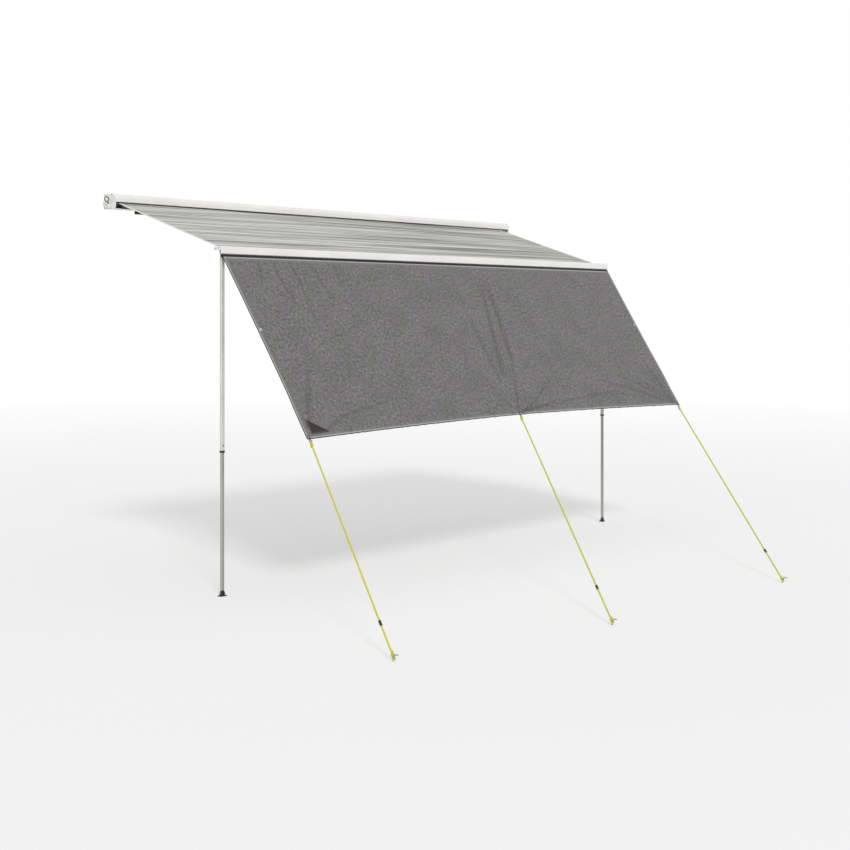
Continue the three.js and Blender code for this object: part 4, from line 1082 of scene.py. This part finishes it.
roofLook = dict(
    shade="#83827B", light="#D6D5CF", dark="#57574F", tape="#EDEDE9", stitch="#C9C9C3",
    streaks=(((0.32, 14, 1), 5), ((0.45, 50, 1), 4)))  # stretch, then detail
# topBand is the width of the near-black top band, dark tape with painted groove shadow; edgeColour
# colours the dark edge and that shadow
screenLook = dict(
    warm="#6E686F", cool="#696B64", light="#82827D", dark="#545452", threads=620,
    edge=0.005, tape=0.014, topBand=0.016, hemShare=0.3, hemColour="#838380",
    tapeColour="#9E9E9A", edgeColour="#0C0C0C", stitch="#565654")
patchLook = dict(dark="#1D1717", light="#2B2423", stitch="#8B8885")
# the rope's dark colour is the painted shade between its strands
ropeLook = dict(colour="#D8DE00", dark="#A4A600", worn="#C4C606", strands=8)
finishes.update(
    roofCloth=roofMaterial("roofCloth", roofLook),
    screenCloth=screenMaterial("screenCloth", screenLook),
    patchCloth=patchMaterial("patchCloth", patchLook),
    rope=ropeMaterial("guyRopeBraid", dict(ropeLook, pitch=200)),
    knot=ropeMaterial("knotBraid", dict(ropeLook, pitch=14)),
    edgeCord=cordMaterial("edgeCordCloth", dict(dark="#A9A9A5", light="#C9C9C5")),
)


# Puts a finish on every slot of a piece
def paint(piece, finish):
    if piece.material_slots:
        for slot in piece.material_slots:
            slot.material = finishes[finish]
    else:
        piece.data.materials.append(finishes[finish])


nodeFinishes = dict(  # by the end of a node's name; the rest are black
    caseWhite=("case_housing", "end_cap", "winding_gearbox", "lead_rail", "rail_cap"),
    legWhite=("outer_tube",),
    armWhite=("upper_arm", "forearm"),
    tubeMetal=("inner_tube",),
    rollerMetal=("roller_tube",),
    castGrey=("crank_eye", "shoulder_bracket", "wrist_bracket", "leg_hanger"),
    steel=("elbow_pin", "foot_bolt", "peg"),
    darkSteel=("anchor_ring",),
)
for name, node in nodes.items():
    matches = [finish for finish, ends in nodeFinishes.items() if name.endswith(ends)]
    paint(node, matches[0] if matches else "blackPlastic")
for piece, finish in looks:
    paint(piece, finish)
print("finishes made:", len(finishes))


# The solids' round faces are shaded smooth, with crisp edges past this angle
def smoothGroup(angle=32):
    tree = bpy.data.node_groups.new("smoothRoundFaces", "GeometryNodeTree")
    for way in ("INPUT", "OUTPUT"):
        tree.interface.new_socket("Geometry", in_out=way, socket_type="NodeSocketGeometry")
    given, result = tree.nodes.new("NodeGroupInput"), tree.nodes.new("NodeGroupOutput")
    clear = addNode(tree, "GeometryNodeRemoveAttribute",
                    {0: given.outputs[0], "Name": "custom_normal"})
    weld = addNode(tree, "GeometryNodeMergeByDistance", {0: clear.outputs[0], "Distance": 1e-5})
    smooth = addNode(tree, "GeometryNodeSetShadeSmooth", {0: weld.outputs[0]}, domain="FACE")
    edgeAngle = addNode(tree, "GeometryNodeInputMeshEdgeAngle")
    over = addNode(tree, "FunctionNodeCompare", {0: edgeAngle.outputs[0], 1: radians(angle)})
    crisp = addNode(
        tree, "GeometryNodeSetShadeSmooth",
        {0: smooth.outputs[0], "Selection": over.outputs[0], "Shade Smooth": False},
        domain="EDGE")
    feed(tree, result, {0: crisp.outputs[0]})
    return tree


smoothTree = smoothGroup()
for node in nodes.values():
    node.modifiers.new("smoothRoundFaces", "NODES").node_group = smoothTree


# Floor and light
stage = dict(
    floor=-2.545, size=60, colour="#F2F2F1", rough=0.9,
    glow=(6, 20, 0.42, 1),  # near and far distance, then the share of glow at each
    fill=0.56, sun=1.75, sunAngle=12,
    sunTurn=(40.5, -39.2, 0),  # low from the front and left
)
white = (1, 1, 1, 1)


# 1 where a ray sees a surface, 0 where it only takes light from it
def seenShare(tree):
    path = addNode(tree, "LightPath").outputs
    seen = maths(tree, "ADD", path["Is Camera Ray"], path["Is Glossy Ray"])
    return maths(tree, "ADD", seen, path["Is Transmission Ray"], clamp=True)


bm = bmesh.new()
bmesh.ops.create_grid(bm, x_segments=1, y_segments=1, size=stage["size"])
bmesh.ops.translate(bm, verts=bm.verts, vec=(0, 0, stage["floor"]))
floor = meshFrom("floor", bm, angle=35)

material, tree = newMaterial("paleFloor")
shader = feed(tree, tree.nodes["Principled BSDF"], {
    "Base Color": linear(stage["colour"]), "Roughness": stage["rough"]})
glow = addNode(tree, "Emission", {"Color": white, "Strength": 1})
away = addNode(tree, "VectorMath", {0: objectPoint(tree)}, operation="LENGTH")
far = spread(tree, away.outputs["Value"], *stage["glow"])
blend = addNode(tree, "MixShader", {
    0: times(tree, far, seenShare(tree)), 1: shader.outputs[0], 2: glow.outputs[0]})
feed(tree, tree.nodes["Material Output"], {"Surface": blend.outputs[0]})
floor.data.materials.append(material)

world = bpy.data.worlds.new("studio")
scene.world = world
world.use_nodes = True
tree = world.node_tree
fill = feed(tree, tree.nodes["Background"], {"Color": white, "Strength": stage["fill"]})
plain = addNode(tree, "Background", {"Color": white, "Strength": 1})
blend = addNode(
    tree, "MixShader", {0: seenShare(tree), 1: fill.outputs[0], 2: plain.outputs[0]})
feed(tree, tree.nodes["World Output"], {"Surface": blend.outputs[0]})

sun = bpy.data.lights.new("key", "SUN")
sun.energy = stage["sun"]
sun.angle = radians(stage["sunAngle"])
key = newObject("key", sun)
key.rotation_euler = [radians(turn) for turn in stage["sunTurn"]]
scene.view_settings.view_transform = "Standard"
print("floor and light set")
